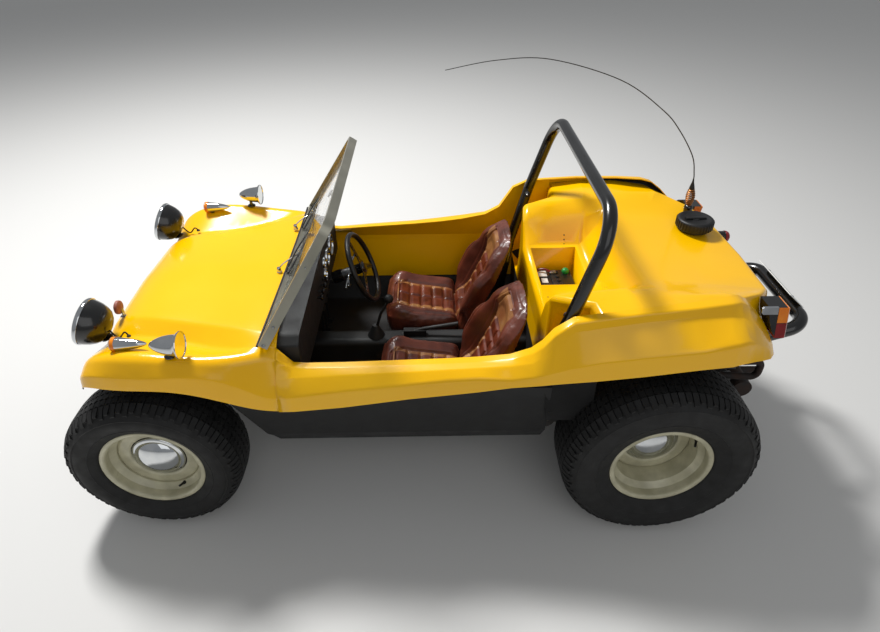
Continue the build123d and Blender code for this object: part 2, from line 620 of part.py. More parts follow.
# transaxle: gear case, axle tubes, torsion tube and its arms, frame horns
torsion_x = pan_rear_x - seat_gap - 40
stub_y = rear_flange_y - rear_dish + 38
case_rows = [(-170, 0), (-170, 165), (-150, 165), (-90, 120), (0, 130), (60, 96), (190, 70), (290, 60),
             (290, 0)]
with BuildPart() as transaxle:
    with BuildSketch(Plane(origin=(rear_axle_x, 0, rear_hub_z), x_dir=(1, 0, 0), z_dir=(0, -1, 0))):
        with BuildLine():
            Polyline(*case_rows, close=True)
        make_face()
    revolve(axis=Axis((rear_axle_x, 0, rear_hub_z), (1, 0, 0)))
    with Locations((rear_axle_x, 0, rear_hub_z)):
        Cylinder(36, 2 * (rear_flange_y - rear_dish - 84), rotation=(90, 0, 0))
        Cylinder(hub_bore - running_fit, 2 * stub_y, rotation=(90, 0, 0))
    with Locations((torsion_x, 0, rear_hub_z - 40)):
        Cylinder(40, 880, rotation=(90, 0, 0))
    for side in (1, -1):
        with Locations((rear_axle_x, side * (rear_flange_y - rear_dish - 84), rear_hub_z)):
            Cylinder(drum_radius - 4, 5, rotation=(-side * 90, 0, 0), align=from_low_end)
        with Locations(((rear_axle_x + torsion_x) / 2, side * 432, rear_hub_z - 20)):
            Box(torsion_x - rear_axle_x + 60, 14, 60)
        with Locations((torsion_x, side * 90, rear_hub_z - 40)):
            Box(torsion_x - rear_axle_x - 120, 36, 60, align=(Align.MAX, Align.CENTER, Align.CENTER))
save(transaxle.part, "transaxle")

# engine as one block, silencer with its pipes
engine_size = (320, 620, 350)
engine_front_x = rear_axle_x - 170 - seat_gap
with BuildPart() as engine:
    with Locations((engine_front_x, 0, rear_hub_z - 50)):
        Box(*engine_size, align=(Align.MAX, Align.CENTER, Align.MIN))
save(engine.part, "engine")
silencer_x = engine_front_x - engine_size[0] - seat_gap - 46
pipe_start = (engine_front_x - 100, engine_size[1] / 2 + seat_gap, rear_hub_z + 215)
with BuildPart() as exhaust:
    with Locations((silencer_x, 0, rear_hub_z - 20)):
        Cylinder(46, 560, rotation=(90, 0, 0))
    for side in (1, -1):
        with Locations((silencer_x - 20, side * 120, rear_hub_z - 40)):
            Cylinder(17, 150, rotation=(0, -90, 0), align=(Align.CENTER, Align.CENTER, Align.MIN))
    hook_x = rear_axle_x - 450
    add(bent_bar([pipe_start, (pipe_start[0], 430, pipe_start[2]), (hook_x, 448, pipe_start[2]),
                  (hook_x, 448, pipe_start[2] + 86), (hook_x + 140, 448, pipe_start[2] + 86)], 15, 30))
save(exhaust.part, "exhaust")

# rear bumper hoop on the engine's frame, and the blank plate that leans on it
bumper_tube = 60
bumper_at = (rear_axle_x - 730, 692)
bumper_leg_y = 250
engine_rear_x = engine_front_x - engine_size[0]
with BuildPart() as rear_bumper:
    leg_z = rear_hub_z - 50 + engine_size[2] - 44
    hoop = [(engine_rear_x - seat_gap - 10, leg_z), bumper_at]
    add(bent_bar([(x, -bumper_leg_y, z) for x, z in hoop] + [(x, bumper_leg_y, z) for x, z in reversed(hoop)],
                 bumper_tube / 2, 80))
    with Locations(*[(engine_rear_x - seat_gap, side * bumper_leg_y, leg_z) for side in (1, -1)]):
        Cylinder(40, 14, rotation=(0, -90, 0), align=(Align.CENTER, Align.CENTER, Align.MIN))
save(rear_bumper.part, "rear_bumper")
plate_lean = math.radians(50)
plate_way = Vector(-math.cos(plate_lean), 0, math.sin(plate_lean))
plate_rise = Vector(math.sin(plate_lean), 0, math.cos(plate_lean))
bar_middle = Vector(bumper_at[0], 0, bumper_at[1])
plate_spot = bar_middle + plate_way * (bumper_tube / 2 + seat_gap) + plate_rise * 45
with BuildPart() as number_plate:
    with BuildSketch(Plane(origin=plate_spot, x_dir=(0, 1, 0), z_dir=plate_way)):
        Rectangle(300, 110)
    extrude(amount=3)
save(number_plate.part, "number_plate")

# lamps, signals, mirrors, horn, wipers
small_lamp = (-262, 850)
lamp_rear_x = rear_axle_x - 442
# columns: z, inner y, outer y of the wedge
lamp_rows = [(828, 425, 512), (850, 420, 506), (875, 414, 498), (900, 408, 490), (925, 402, 482),
             (948, 396, 474)]
with BuildPart() as tail_lamps:
    # wedge between the leaning tail and an upright lens, one a side
    for z, inner_y, outer_y in lamp_rows:
        spots = [inner_y + (outer_y - inner_y) * i / 12 for i in range(13)]
        front_x = min(rear_face(body_shell.part, y, z, 1) for y in spots)
        with BuildSketch(Plane.XY.offset(z)):
            with BuildLine():
                Polyline((front_x, inner_y), (front_x, outer_y), (lamp_rear_x, outer_y),
                         (lamp_rear_x, inner_y), close=True)
            make_face()
    loft(ruled=True)
    mirror(about=Plane.XZ)
    with Locations((rear_face(body_shell.part, *small_lamp, 28), *small_lamp)):
        Cylinder(28, 46, rotation=(0, -90, 0), align=(Align.CENTER, Align.CENTER, Align.MIN))
save(tail_lamps.part, "tail_lamps")
lamp_tilt = math.radians(19)
lamp_way = (math.cos(lamp_tilt), 0, math.sin(lamp_tilt))
lamp_place = (front_axle_x + 205, 418, 884)
lamp_foot = (front_axle_x + 145, 418)
foot_height = rest_height(front_moulding.part, *lamp_foot, 22)
with BuildPart() as headlamps:
    for side in (1, -1):
        place = (lamp_place[0], side * lamp_place[1], lamp_place[2])
        with BuildSketch(Plane(origin=place, x_dir=(0, 1, 0), z_dir=(lamp_way[2], 0, -lamp_way[0]))):
            with BuildLine():
                Polyline((0, 28), (80, 18), (94, 4), (94, -8), (90, -28), (66, -74), (0, -96), close=True)
            make_face()
        revolve(axis=Axis(place, lamp_way))
        with Locations((lamp_foot[0], side * lamp_foot[1], foot_height)):
            Cylinder(22, 6, align=(Align.CENTER, Align.CENTER, Align.MIN))
            Cylinder(13, lamp_place[2] - 54 - foot_height, align=(Align.CENTER, Align.CENTER, Align.MIN))
save(headlamps.part, "headlamps")
signal_x = front_axle_x - 26
signal_z = rest_height(front_moulding.part, signal_x + 30, 568, 12)
with BuildPart() as front_signals:
    for side in (1, -1):
        with Locations((signal_x, side * 568, signal_z + 22)):
            Cone(27, 4, 134, rotation=(0, -90, 0))
        with Locations((signal_x + 30, side * 568, signal_z)):
            Cylinder(12, 20, align=(Align.CENTER, Align.CENTER, Align.MIN))
save(front_signals.part, "front_signals")
mirror_x = front_axle_x - 190
mirror_z = rest_height(front_moulding.part, mirror_x, 618, 16)
with BuildPart() as door_mirrors:
    for side in (1, -1):
        with Locations((mirror_x, side * 628, mirror_z + 58)):
            Cone(52, 8, 114, rotation=(0, 90, 0))
        with Locations((mirror_x, side * 618, mirror_z)):
            Cylinder(16, 5, align=(Align.CENTER, Align.CENTER, Align.MIN))
            Cylinder(7, 50, align=(Align.CENTER, Align.CENTER, Align.MIN))
save(door_mirrors.part, "door_mirrors")
horn_at = (front_axle_x + 132, 300)
horn_z = rest_height(front_moulding.part, *horn_at, 8)
with BuildPart() as horn:
    with Locations((*horn_at, horn_z)):
        Cylinder(8, 30, align=(Align.CENTER, Align.CENTER, Align.MIN))
    with Locations((*horn_at, horn_z + 46)):
        Cylinder(28, 24, rotation=(0, 90, 0))
save(horn.part, "horn")
pivot_x = cowl_x + 72
with BuildPart() as wipers:
    for y in (-312, 84):
        pivot_z = rest_height(front_moulding.part, pivot_x, y, 9)
        with Locations((pivot_x, y, pivot_z)):
            Cylinder(9, 22, align=(Align.CENTER, Align.CENTER, Align.MIN))
        with Locations((pivot_x - 2, y, pivot_z + 18)):
            Box(8, 8, 8)
        with Locations((pivot_x - 2, y - 130, pivot_z + 18)):
            Box(6, 260, 8)
save(wipers.part, "wipers")
with BuildPart() as rear_view_mirror:
    with BuildSketch(glass_plane.offset(-2.5 - seat_gap)):
        with Locations((-140, glass_height - 180)):
            Circle(18)
    extrude(amount=-6)
    with BuildSketch(glass_plane.offset(-30)):
        with Locations((-140, glass_height - 180)):
            RectangleRounded(170, 50, 12)
    extrude(amount=-12)
    with BuildSketch(glass_plane.offset(-8)):
        with Locations((-140, glass_height - 180)):
            Circle(7)
    extrude(amount=-24)
save(rear_view_mirror.part, "rear_view_mirror")
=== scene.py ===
import bpy
import bmesh
import math
import numpy as np
from mathutils import Matrix, Vector


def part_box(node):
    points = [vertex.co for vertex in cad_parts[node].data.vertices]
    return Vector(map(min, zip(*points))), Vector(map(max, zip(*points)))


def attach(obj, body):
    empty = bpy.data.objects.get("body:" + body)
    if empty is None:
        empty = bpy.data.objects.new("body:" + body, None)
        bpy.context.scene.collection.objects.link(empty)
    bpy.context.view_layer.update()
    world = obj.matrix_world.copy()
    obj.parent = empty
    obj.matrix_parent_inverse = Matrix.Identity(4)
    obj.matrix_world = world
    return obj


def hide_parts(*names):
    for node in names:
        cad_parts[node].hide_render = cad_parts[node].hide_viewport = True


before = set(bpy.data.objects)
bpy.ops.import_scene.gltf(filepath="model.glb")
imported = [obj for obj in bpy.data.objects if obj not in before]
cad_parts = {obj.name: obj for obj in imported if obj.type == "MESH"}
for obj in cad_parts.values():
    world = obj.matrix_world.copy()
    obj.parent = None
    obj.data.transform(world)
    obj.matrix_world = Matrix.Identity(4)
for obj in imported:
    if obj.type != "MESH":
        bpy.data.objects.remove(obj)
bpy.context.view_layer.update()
scene = bpy.context.scene
scene.view_settings.view_transform = "Standard"

# The camera stands to the left of the buggy and above it, looking down across the cockpit.
# Its place and lens are the photograph's, worked out from the four wheels.
photo_width, photo_height = 880, 632
focal_pixels = 584.5
sensor_width = 36.0
camera_right = Vector((-0.99975, 0.01936, 0.01122))
camera_up = Vector((-0.00246, -0.59343, 0.80488))
camera_back = camera_right.cross(camera_up)
camera_place = Vector((0.11734, 2.26, 2.27725))


def put(name, data):
    # a new object in the scene
    new = bpy.data.objects.new(name, data)
    scene.collection.objects.link(new)
    return new


view_camera = bpy.data.cameras.new("view_camera")
view_camera.sensor_width = sensor_width
view_camera.lens = focal_pixels / photo_width * sensor_width
scene.camera = put("view_camera", view_camera)
camera_turn = Matrix((camera_right, camera_up, camera_back)).transposed()
scene.camera.matrix_world = Matrix.Translation(camera_place) @ camera_turn.to_4x4()

# The floor is one pale matt sheet. The light is a small panel high over the far front corner, which
# throws a firm shadow, with a large weak one on the near side and a plain pale world.
floor_mesh = bpy.data.meshes.new("floor")
floor_mesh.from_pydata([(-30, -30, 0), (30, -30, 0), (30, 30, 0), (-30, 30, 0)], [], [(0, 1, 2, 3)])


def linear(hex_colour):
    # an sRGB hex colour as linear red, green, blue and an alpha of 1
    channels = [int(hex_colour[i:i + 2], 16) / 255 for i in (1, 3, 5)]
    return tuple(c / 12.92 if c <= 0.04045 else ((c + 0.055) / 1.055) ** 2.4 for c in channels) + (1.0,)


def node(tree, kind, inputs=None, **settings):
    # adds a node with its settings, and sets or links its inputs
    added = tree.nodes.new(kind)
    for name, value in settings.items():
        setattr(added, name, value)
    for name, value in (inputs or {}).items():
        if isinstance(value, bpy.types.NodeSocket):
            tree.links.new(value, added.inputs[name])
        else:
            added.inputs[name].default_value = value
    return added


def coat(name, **sockets):
    # a material with these values on its shader's sockets
    finish = bpy.data.materials.new(name)
    finish.use_nodes = True
    for socket, value in sockets.items():
        shader = finish.node_tree.nodes["Principled BSDF"]
        shader.inputs[socket.replace("_", " ")].default_value = value
    return finish


# matt studio paper: even, nearly without gloss
floor_mesh.materials.append(coat("pale_floor", Base_Color=linear("#d9d8d5"), Roughness=0.9))
floor = put("floor", floor_mesh)
aim = Vector((0, 0, 0.5))
for name, place, size, power in (("key_panel", (2.6, -2.6, 6.6), 1.3, 600),
                                 ("fill_panel", (-1.5, 5.5, 4.5), 5.0, 60)):
    lamp = bpy.data.lights.new(name, "AREA")
    lamp.size = size
    lamp.energy = power
    turn = (Vector(place) - aim).to_track_quat("Z", "Y").to_matrix().to_4x4()
    put(name, lamp).matrix_world = Matrix.Translation(place) @ turn
sky = bpy.data.worlds.new("plain_sky")
sky.use_nodes = True
sky.node_tree.nodes["Background"].inputs["Color"].default_value = linear("#eef1f5")
sky.node_tree.nodes["Background"].inputs["Strength"].default_value = 0.32
scene.world = sky

# The body is one glass-fibre moulding, laid up by hand and polished, bolted to the floor pan. The
# outside is yellow gel coat, and the hidden side of the moulding is painted black. The pockets beside
# the seat backs are black as well, as painted shade. The vehicle is drawn level and stands a little
# nose down on its tyres, so each piece is turned by that stance.
mm = 0.001
stance = Matrix.Translation((0.030, 0, 0.032173)) @ Matrix.Rotation(0.0126224, 4, "Y")
level = stance.inverted()


def surface(name, tones, patch, roughness, grain, bump, **sockets):
    # a finish whose colour and gloss drift between two tones over patches of this size, with a
    # relief of this grain and depth; all in metres
    finish = coat(name, **sockets)
    tree = finish.node_tree
    shader = tree.nodes["Principled BSDF"].inputs
    place = node(tree, "ShaderNodeTexCoord").outputs["Object"]
    noise = node(tree, "ShaderNodeTexNoise", {"Vector": place, "Scale": 1 / patch, "Detail": 4.0})
    drift = noise.outputs["Fac"]
    tint = node(tree, "ShaderNodeValToRGB", {"Fac": drift})
    for stop, at, tone in zip(tint.color_ramp.elements, (0.35, 0.65), tones):
        stop.position = at
        stop.color = linear(tone)
    tree.links.new(tint.outputs["Color"], shader["Base Color"])
    rough = node(tree, "ShaderNodeMapRange", {
        "Value": drift, "From Min": 0.3, "From Max": 0.7,
        "To Min": roughness * 0.85, "To Max": roughness * 1.2})
    tree.links.new(rough.outputs["Result"], shader["Roughness"])
    if bump:
        relief = node(tree, "ShaderNodeTexNoise", {"Vector": place, "Scale": 1 / grain, "Detail": 2.0})
        raised = node(tree, "ShaderNodeBump", {
            "Height": relief.outputs["Fac"], "Distance": bump, "Strength": 1.0})
        tree.links.new(raised.outputs["Normal"], shader["Normal"])
    return finish


def mesh_of(name, form):
    # the form as a mesh, which uses it up
    mesh = bpy.data.meshes.new(name)
    form.to_mesh(mesh)
    form.free()
    return mesh


def made(name, form, finishes, hides=(), crease=35, body="chassis", turn=stance):
    # a finished piece from a form drawn in millimetres on the level vehicle
    mesh = mesh_of(name, form)
    mesh.transform(turn @ Matrix.Scale(mm, 4))
    for finish in finishes:
        mesh.materials.append(finish)
    mesh.shade_smooth()
    mesh.set_sharp_from_angle(angle=math.radians(crease))
    piece = put(name, mesh)
    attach(piece, body)
    if hides:
        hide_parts(*hides)
    return piece


# polished gel coat over glass fibre: clear gloss, a hint of orange peel, slightly uneven yellow
gelcoat = surface("polished_yellow_gelcoat", ("#fbbc00", "#fdc200"), 0.6, 0.22, 0.03, 0.00012,
                  Coat_Weight=0.3, Coat_Roughness=0.06, Specular_IOR_Level=0.35)
# brushed-on black bitumen paint under the moulding: dull, with dust in it; the same black also
# lies in the pockets beside the seat backs as painted shade
underseal_and_pocket_shade = surface("black_underseal_and_pocket_shade", ("#050505", "#0d0c0b"), 0.15, 0.8, 0.006, 0.0006)
shell = bmesh.new()
shell.from_mesh(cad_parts["body_shell"].data)
bmesh.ops.transform(shell, matrix=(stance @ Matrix.Scale(mm, 4)).inverted(), verts=shell.verts)
bmesh.ops.remove_doubles(shell, verts=shell.verts, dist=0.03)
shell.normal_update()
cockpit_end, cockpit_low = 640, 600
pocket_back, pocket_front, pocket_top = -620, -380, 735
arch_side, arch_top, sill = 560, 730, 560
for face in shell.faces:
    spot, way = face.calc_center_median(), face.normal
    outward = way.y * (1 if spot.y > 0 else -1)
    inside = abs(spot.x) < cockpit_end and spot.z > cockpit_low and outward < -0.3
    beside = abs(spot.y) > arch_side
    # faces in the pockets beside the seat backs take the black finish as painted shade
    painted_shade_pocket = beside and pocket_back < spot.x < pocket_front and spot.z < pocket_top
    arch = beside and outward < -0.5 and spot.z < arch_top
    face.material_index = int(not inside and (spot.z < sill or way.z < -0.35 or painted_shade_pocket or arch))
body_skin = made("body_shell_skin", shell, (gelcoat, underseal_and_pocket_shade), ("body_shell",), 28)

# The moulding turns down inside the cockpit and meets the floor pan's side, so that no daylight
# shows between them. The return follows the lip, which is found by looking straight down on it, and
# behind the pan it goes on to the moulding's back wall, black on the side of the wheel.
inner_return = bmesh.new()
down = stance.to_3x3() @ Vector((0, 0, -1))
wall_x, spacing, lip_low, above = -372, 22, 0.62, 1200
pan_side, pan_top, well_top, thickness = 630, 680, 520, 3
for side in (1, -1):
    edge = []
    for k in range(-9, 40):
        x, in_front = wall_x + spacing * k, k >= 0
        for reach in range(540 if in_front else 606, 680, 3):
            eye = stance @ (Vector((x, side * reach, above)) * mm)
            hit, spot, _, _ = body_skin.ray_cast(eye, down)
            if hit and (level @ spot).z > lip_low:
                edge.append((Vector((x, side * (reach + 8), (level @ spot / mm).z - 4)),
                             Vector((x, side * pan_side, pan_top if in_front else well_top))))
                break
    edge = [(top, foot) for top, foot in edge if top.z > foot.z + 4]
    near, far = [[[inner_return.verts.new(p + Vector((0, out, 0))) for p in pair] for pair in edge]
                 for out in (0, side * thickness)]
    quads = [(1, (near[k][0], near[k][1], far[k][1], far[k][0])) for k in (0, len(edge) - 1)]
    for k in range(len(edge) - 1):
        quads += [(0, (near[k][0], near[k + 1][0], near[k + 1][1], near[k][1])),
                  (1, (far[k][0], far[k + 1][0], far[k + 1][1], far[k][1]))]
        quads += [(1, (near[k][row], near[k + 1][row], far[k + 1][row], far[k][row])) for row in (0, 1)]
    for share, corners in quads:
        inner_return.faces.new(corners).material_index = share
bmesh.ops.recalc_face_normals(inner_return, faces=inner_return.faces)
made("cockpit_return", inner_return, (gelcoat, underseal_and_pocket_shade), crease=40)

# The tyres are wide cross-ply ones with zigzag ribs and cut shoulders, moulded in black rubber.
# The carcass is turned, and one pitch of the tread is drawn flat, bent round and repeated.
# black rubber: nearly no gloss, greyer where the sidewall has weathered
tyre_rubber = surface("weathered_tyre_rubber", ("#090909", "#141312"), 0.05, 0.68, 0.003, 0.0003)


def round_angles(count):
    return [2 * math.pi * i / count for i in range(count)]


def circle(form, centre, across, other, radius, count):
    return [form.verts.new(centre + (across * math.cos(a) + other * math.sin(a)) * radius)
            for a in round_angles(count)]


def outwards(form, faces, share):
    # gives new faces one of the piece's finishes, and turns them outwards
    for face in faces:
        face.material_index = share
    bmesh.ops.recalc_face_normals(form, faces=faces)


def turned(form, outline, place, way, steps, share=0, closed=False):
    # turns (radius, distance) pairs about an axis through a place; a radius of 0 is a pole
    way = Vector(way).normalized()
    across = way.orthogonal().normalized()
    other = way.cross(across)
    rings = [circle(form, Vector(place) + way * distance, across, other, radius, steps if radius else 1)
             for radius, distance in outline]
    pairs = list(zip(rings, rings[1:])) + ([(rings[-1], rings[0])] if closed else [])
    faces = []
    for low, high in pairs:
        for i in range(steps):
            j = (i + 1) % steps
            corners = [low[i % len(low)], low[j % len(low)], high[j % len(high)], high[i % len(high)]]
            corners = [v for k, v in enumerate(corners) if v not in corners[:k]]
            if len(corners) > 2:
                faces.append(form.faces.new(corners))
    outwards(form, faces, share)


def radius_at(profile, y):
    # radius of the tread's crown at a distance across the tyre
    for (y0, r0), (y1, r1) in zip(profile, profile[1:]):
        if y0 <= y <= y1:
            return r0 + (r1 - r0) * (y - y0) / (y1 - y0)
    return profile[-1][1]


def lug(tread, profile, pitch, outline, depth=9):
    # a rubber block: an outline of (share of the pitch, y), its top on the crown, its foot below it
    tops, feet = [], []
    for share, y in outline:
        turn = math.radians(pitch) * share
        for ring, drop in ((tops, 0.4), (feet, depth)):
            r = radius_at(profile, y) - drop
            ring.append(tread.verts.new((math.sin(turn) * r, y, math.cos(turn) * r)))
    tread.faces.new(tops)
    for i in range(len(tops)):
        j = (i + 1) % len(tops)
        tread.faces.new((tops[i], feet[i], feet[j], tops[j]))


def plain_mesh(piece):
    # the mesh that an object's modifiers leave
    bpy.context.view_layer.update()
    return bpy.data.meshes.new_from_object(piece.evaluated_get(bpy.context.evaluated_depsgraph_get()))


def ring_of(form, count, axis, finish, name):
    # repeats a form round an axis through the origin, and gives the plain mesh
    tree = bpy.data.node_groups.new(name, "GeometryNodeTree")
    for label, kind in (("Piece", "Object"), ("Count", "Int"), ("Axis", "Vector"), ("Finish", "Material")):
        tree.interface.new_socket(label, in_out="INPUT", socket_type="NodeSocket" + kind)
    tree.interface.new_socket("Geometry", in_out="OUTPUT", socket_type="NodeSocketGeometry")
    given = node(tree, "NodeGroupInput").outputs
    spots = node(tree, "GeometryNodePoints", {"Count": given["Count"]})
    number = node(tree, "GeometryNodeInputIndex").outputs["Index"]
    share = node(tree, "ShaderNodeMath", {0: number, 1: given["Count"]}, operation="DIVIDE")
    angle = node(tree, "ShaderNodeMath", {0: share.outputs[0], 1: 2 * math.pi}, operation="MULTIPLY")
    turn = node(tree, "FunctionNodeAxisAngleToRotation", {"Axis": given["Axis"], "Angle": angle.outputs[0]})
    source = node(tree, "GeometryNodeObjectInfo", {"Object": given["Piece"]})
    copies = node(tree, "GeometryNodeInstanceOnPoints", {
        "Points": spots.outputs[0], "Rotation": turn.outputs[0], "Instance": source.outputs["Geometry"]})
    real = node(tree, "GeometryNodeRealizeInstances", {"Geometry": copies.outputs[0]})
    dressed = node(tree, "GeometryNodeSetMaterial", {
        "Geometry": real.outputs[0], "Material": given["Finish"]})
    node(tree, "NodeGroupOutput", {"Geometry": dressed.outputs[0]})
    piece = put(name + "_piece", mesh_of(name + "_piece", form))
    holder = put(name, bpy.data.meshes.new(name))
    repeat = holder.modifiers.new("repeat", "NODES")
    repeat.node_group = tree
    values = {"Piece": piece, "Count": count, "Axis": axis, "Finish": finish}
    for item in tree.interface.items_tree:
        if item.in_out == "INPUT":
            repeat[item.identifier] = values[item.name]
    result = plain_mesh(holder)
    bpy.data.objects.remove(holder)
    bpy.data.objects.remove(piece)
    return result


def wheel_seat(name):
    # puts a form turned about the y axis on its hub, with its outer side away from the vehicle
    corner_low, corner_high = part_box(name + "_tyre")
    hub = (corner_low + corner_high) / 2
    seat = Matrix.Translation((hub.x, 0, hub.z))
    return seat @ Matrix.Rotation(math.pi, 4, "Z") if name.endswith("right") else seat


# each axle's tyre radius, the tyre's two sides, the rim's outer flange, the depth of the dish behind
# that flange, and the number of pitches round the tread
wheel_sizes = {"front": (352, 470, 722, 694, 70, 42), "rear": (398, 470, 778, 746, 140, 46)}
rim_radius, rim_inset, axle_way = 207, 28, (0, 1, 0)
shoulder, rib_gap, zigzag, groove = 60, 3.2, 5, 8
for axle, (radius, low, high, flange_y, _, pitches) in wheel_sizes.items():
    pitch = 360 / pitches
    crown = ((7, 40), (20, 20), (50, 5), (90, 0))
    profile = [(low, 300)] + [(low + y, radius - drop) for y, drop in crown]
    profile += [(high - y, radius - drop) for y, drop in reversed(crown)] + [(high, 300)]
    tread = bmesh.new()
    ribs = 4 if axle == "front" else 5
    step = (high - low - 2 * shoulder) / ribs
    half = step / 2 - rib_gap
    for k in range(ribs):
        y = low + shoulder + step * (k + 0.5)
        swing = zigzag if k % 2 else -zigzag
        for start, bend, end in ((0.03, 0.25, 0.5), (0.53, 0.75, 0.97)):
            lug(tread, profile, pitch, [
                (start, y - half + swing), (bend, y - half - swing), (end, y - half + swing),
                (end, y + half + swing), (bend, y + half - swing), (start, y + half + swing)])
    for edge, side in ((low, -1), (high, 1)):
        inner, mid, outer, cut = (edge - side * inset for inset in (58, 34, 14, 22))
        for outline in (
                [(0.04, inner), (0.04, mid), (0.04, outer), (0.40, outer), (0.46, mid), (0.46, inner)],
                [(0.54, inner), (0.54, mid), (0.60, cut), (0.90, cut), (0.96, mid), (0.96, inner)]):
            lug(tread, profile, pitch, outline, 8)
    bmesh.ops.recalc_face_normals(tread, faces=tread.faces)
    ring_mesh = ring_of(tread, pitches, axle_way, tyre_rubber, axle + "_tread")

    # the carcass, from the inner bead over the crown to the outer bead, and back inside its wall
    inner_y = low + rim_inset
    widest = (rim_radius + radius) / 2 + 4
    base = radius - groove
    carcass = [
        (191, inner_y + 10), (208, inner_y + 5), (214, inner_y - 3), (widest - 26, low + 4), (widest, low),
        (widest + 22, low + 2), (radius - 44, low + 9), (base - 20, low + 22), (base - 5, low + 50),
        (base, low + 90), (base, high - 90), (base - 5, high - 50), (base - 20, high - 22),
        (radius - 44, high - 9), (radius - 48, high - 6), (radius - 50, high - 3.4),
        (radius - 53, high - 3.4), (radius - 55, high - 5), (widest + 6, high - 1), (widest - 8, high),
        (widest - 26, high - 3), (widest - 38, high - 8), (widest - 40, high - 7),
        (widest - 42, high - 9), (218, flange_y + 6), (211, flange_y + 1), (208, flange_y - 5),
        (191, flange_y - 10), (191, flange_y - 26), (214, flange_y - 15), (widest, high - 13),
        (radius - 44, high - 24), (radius - 22, high - 60), (radius - 22, low + 60),
        (radius - 44, low + 24), (widest, low + 13), (214, inner_y + 15), (191, inner_y + 26)]
    for name in (axle + "_left", axle + "_right"):
        tyre = bmesh.new()
        turned(tyre, carcass, (0, 0, 0), axle_way, 120, closed=True)
        tyre.from_mesh(ring_mesh)
        made(name + "_tread_tyre", tyre, (tyre_rubber,), (name + "_tyre",), 40, name,
             wheel_seat(name))

# The wheels are pressed steel with a deep dish, sprayed cream, with a chromed dome over the hub and a
# cast drum behind. The valve stands in the dish.
# stoved cream enamel on steel: soft gloss, brown dust gathered in the dish
cream_enamel = surface("stoved_cream_enamel", ("#c6c1a4", "#aba68a"), 0.07, 0.32, 0.002, 0.0001,
                       Coat_Weight=0.3)
# chromed pressed steel: a mirror with a few dull patches
chrome = surface("chromed_steel", ("#c9cccf", "#d8dadb"), 0.05, 0.07, 0.01, 0.0, Metallic=1.0)
# cast iron drum under old black paint: dull, rough from the casting
cast_iron = surface("painted_cast_iron", ("#1d1b1a", "#2c2623"), 0.03, 0.6, 0.002, 0.0004, Metallic=0.3)
valve_radius = 172
for name in ("front_left", "front_right", "rear_left", "rear_right"):
    _, low, _, flange_y, dish, _ = wheel_sizes[name.split("_")[0]]
    inner_y, disc_y = low + rim_inset, flange_y - dish
    wheel = bmesh.new()
    # disc and rim, with each run of pairs measured from the disc or from one of the two flanges
    turned(wheel, [(radius, line + away) for line, run in (
        (disc_y, ((112, -8), (150, -8), (164, -20))),
        (inner_y, ((164, 60), (186, 38), (186, 4), (204, 0), (207, 2.5), (204, 6), (190, 9), (190, 34),
                   (168, 58))),
        (flange_y, ((168, -60), (190, -36), (190, -9), (201, -7), (206, -5), (207, -2.5), (205, -0.5),
                    (200, 0), (190, -2), (186, -6), (185, -14), (186, -40), (178, -50), (165, -62))),
        (disc_y, ((164, -2), (160, 3), (152, 5), (138, 2), (126, 4), (116, 3), (112, 0))))
        for radius, away in run], (0, 0, 0), axle_way, 96, closed=True)
    # drum, then dome
    turned(wheel, [(24, -72), (119, -72), (124, -67), (124, -46), (121, -44), (121, -30), (124, -28),
                   (124, -12), (118, -8.4), (24, -8.4)], (0, disc_y, 0), axle_way, 72, 1, True)
    turned(wheel, [(0, 44), (18, 43.5), (36, 41), (54, 36.5), (70, 30), (83, 22), (91, 14), (93, 10),
                   (97, 9), (103, 8), (107, 5), (108, 1), (106, -3), (0, -3)], (0, disc_y, 0),
           axle_way, 72, 2)
    turn = math.radians(205 if name.startswith("front") else 309)
    turned(wheel, [(0, 0), (8, 0), (7, 6), (5, 14), (4.5, 26), (5.2, 27), (5.2, 36), (0, 37)],
           (math.sin(turn) * valve_radius, flange_y - 56, math.cos(turn) * valve_radius),
           (-math.sin(turn) * 0.5, 0.86, -math.cos(turn) * 0.5), 16, 3)
    made(name + "_steel_wheel", wheel, (cream_enamel, cast_iron, chrome, tyre_rubber),
         (name + "_rim",), 40, name, wheel_seat(name))

# The seats are low buckets in stitched leather over foam: dark rolled sides, a tan panel at the head
# and rows of quilted pillows below it. Each pad is blown up tight, then its channels are pulled in.
# waxed leather on the rolls: dark, satin, creased, rubbed lighter in patches
dark_leather = surface("waxed_brown_leather", ("#4a2014", "#6b3220"), 0.09, 0.36, 0.0035, 0.0004,
                       Coat_Weight=0.15)
# oxblood hide on the pillows: redder and a little glossier, where people sit
pillow_leather = surface("oxblood_pillow_leather", ("#451809", "#6a2c16"), 0.07, 0.33, 0.0035, 0.0004,
                         Coat_Weight=0.2)
# tan hide at the head and round the pillows: paler, worn in patches
tan_leather = surface("worn_tan_leather", ("#7a4828", "#9a6a3c"), 0.08, 0.34, 0.0035, 0.0004,
                      Coat_Weight=0.2)
foam_voxel, foam_pressure, foam_steps, puff = 0.007, 4.0, 20, 7


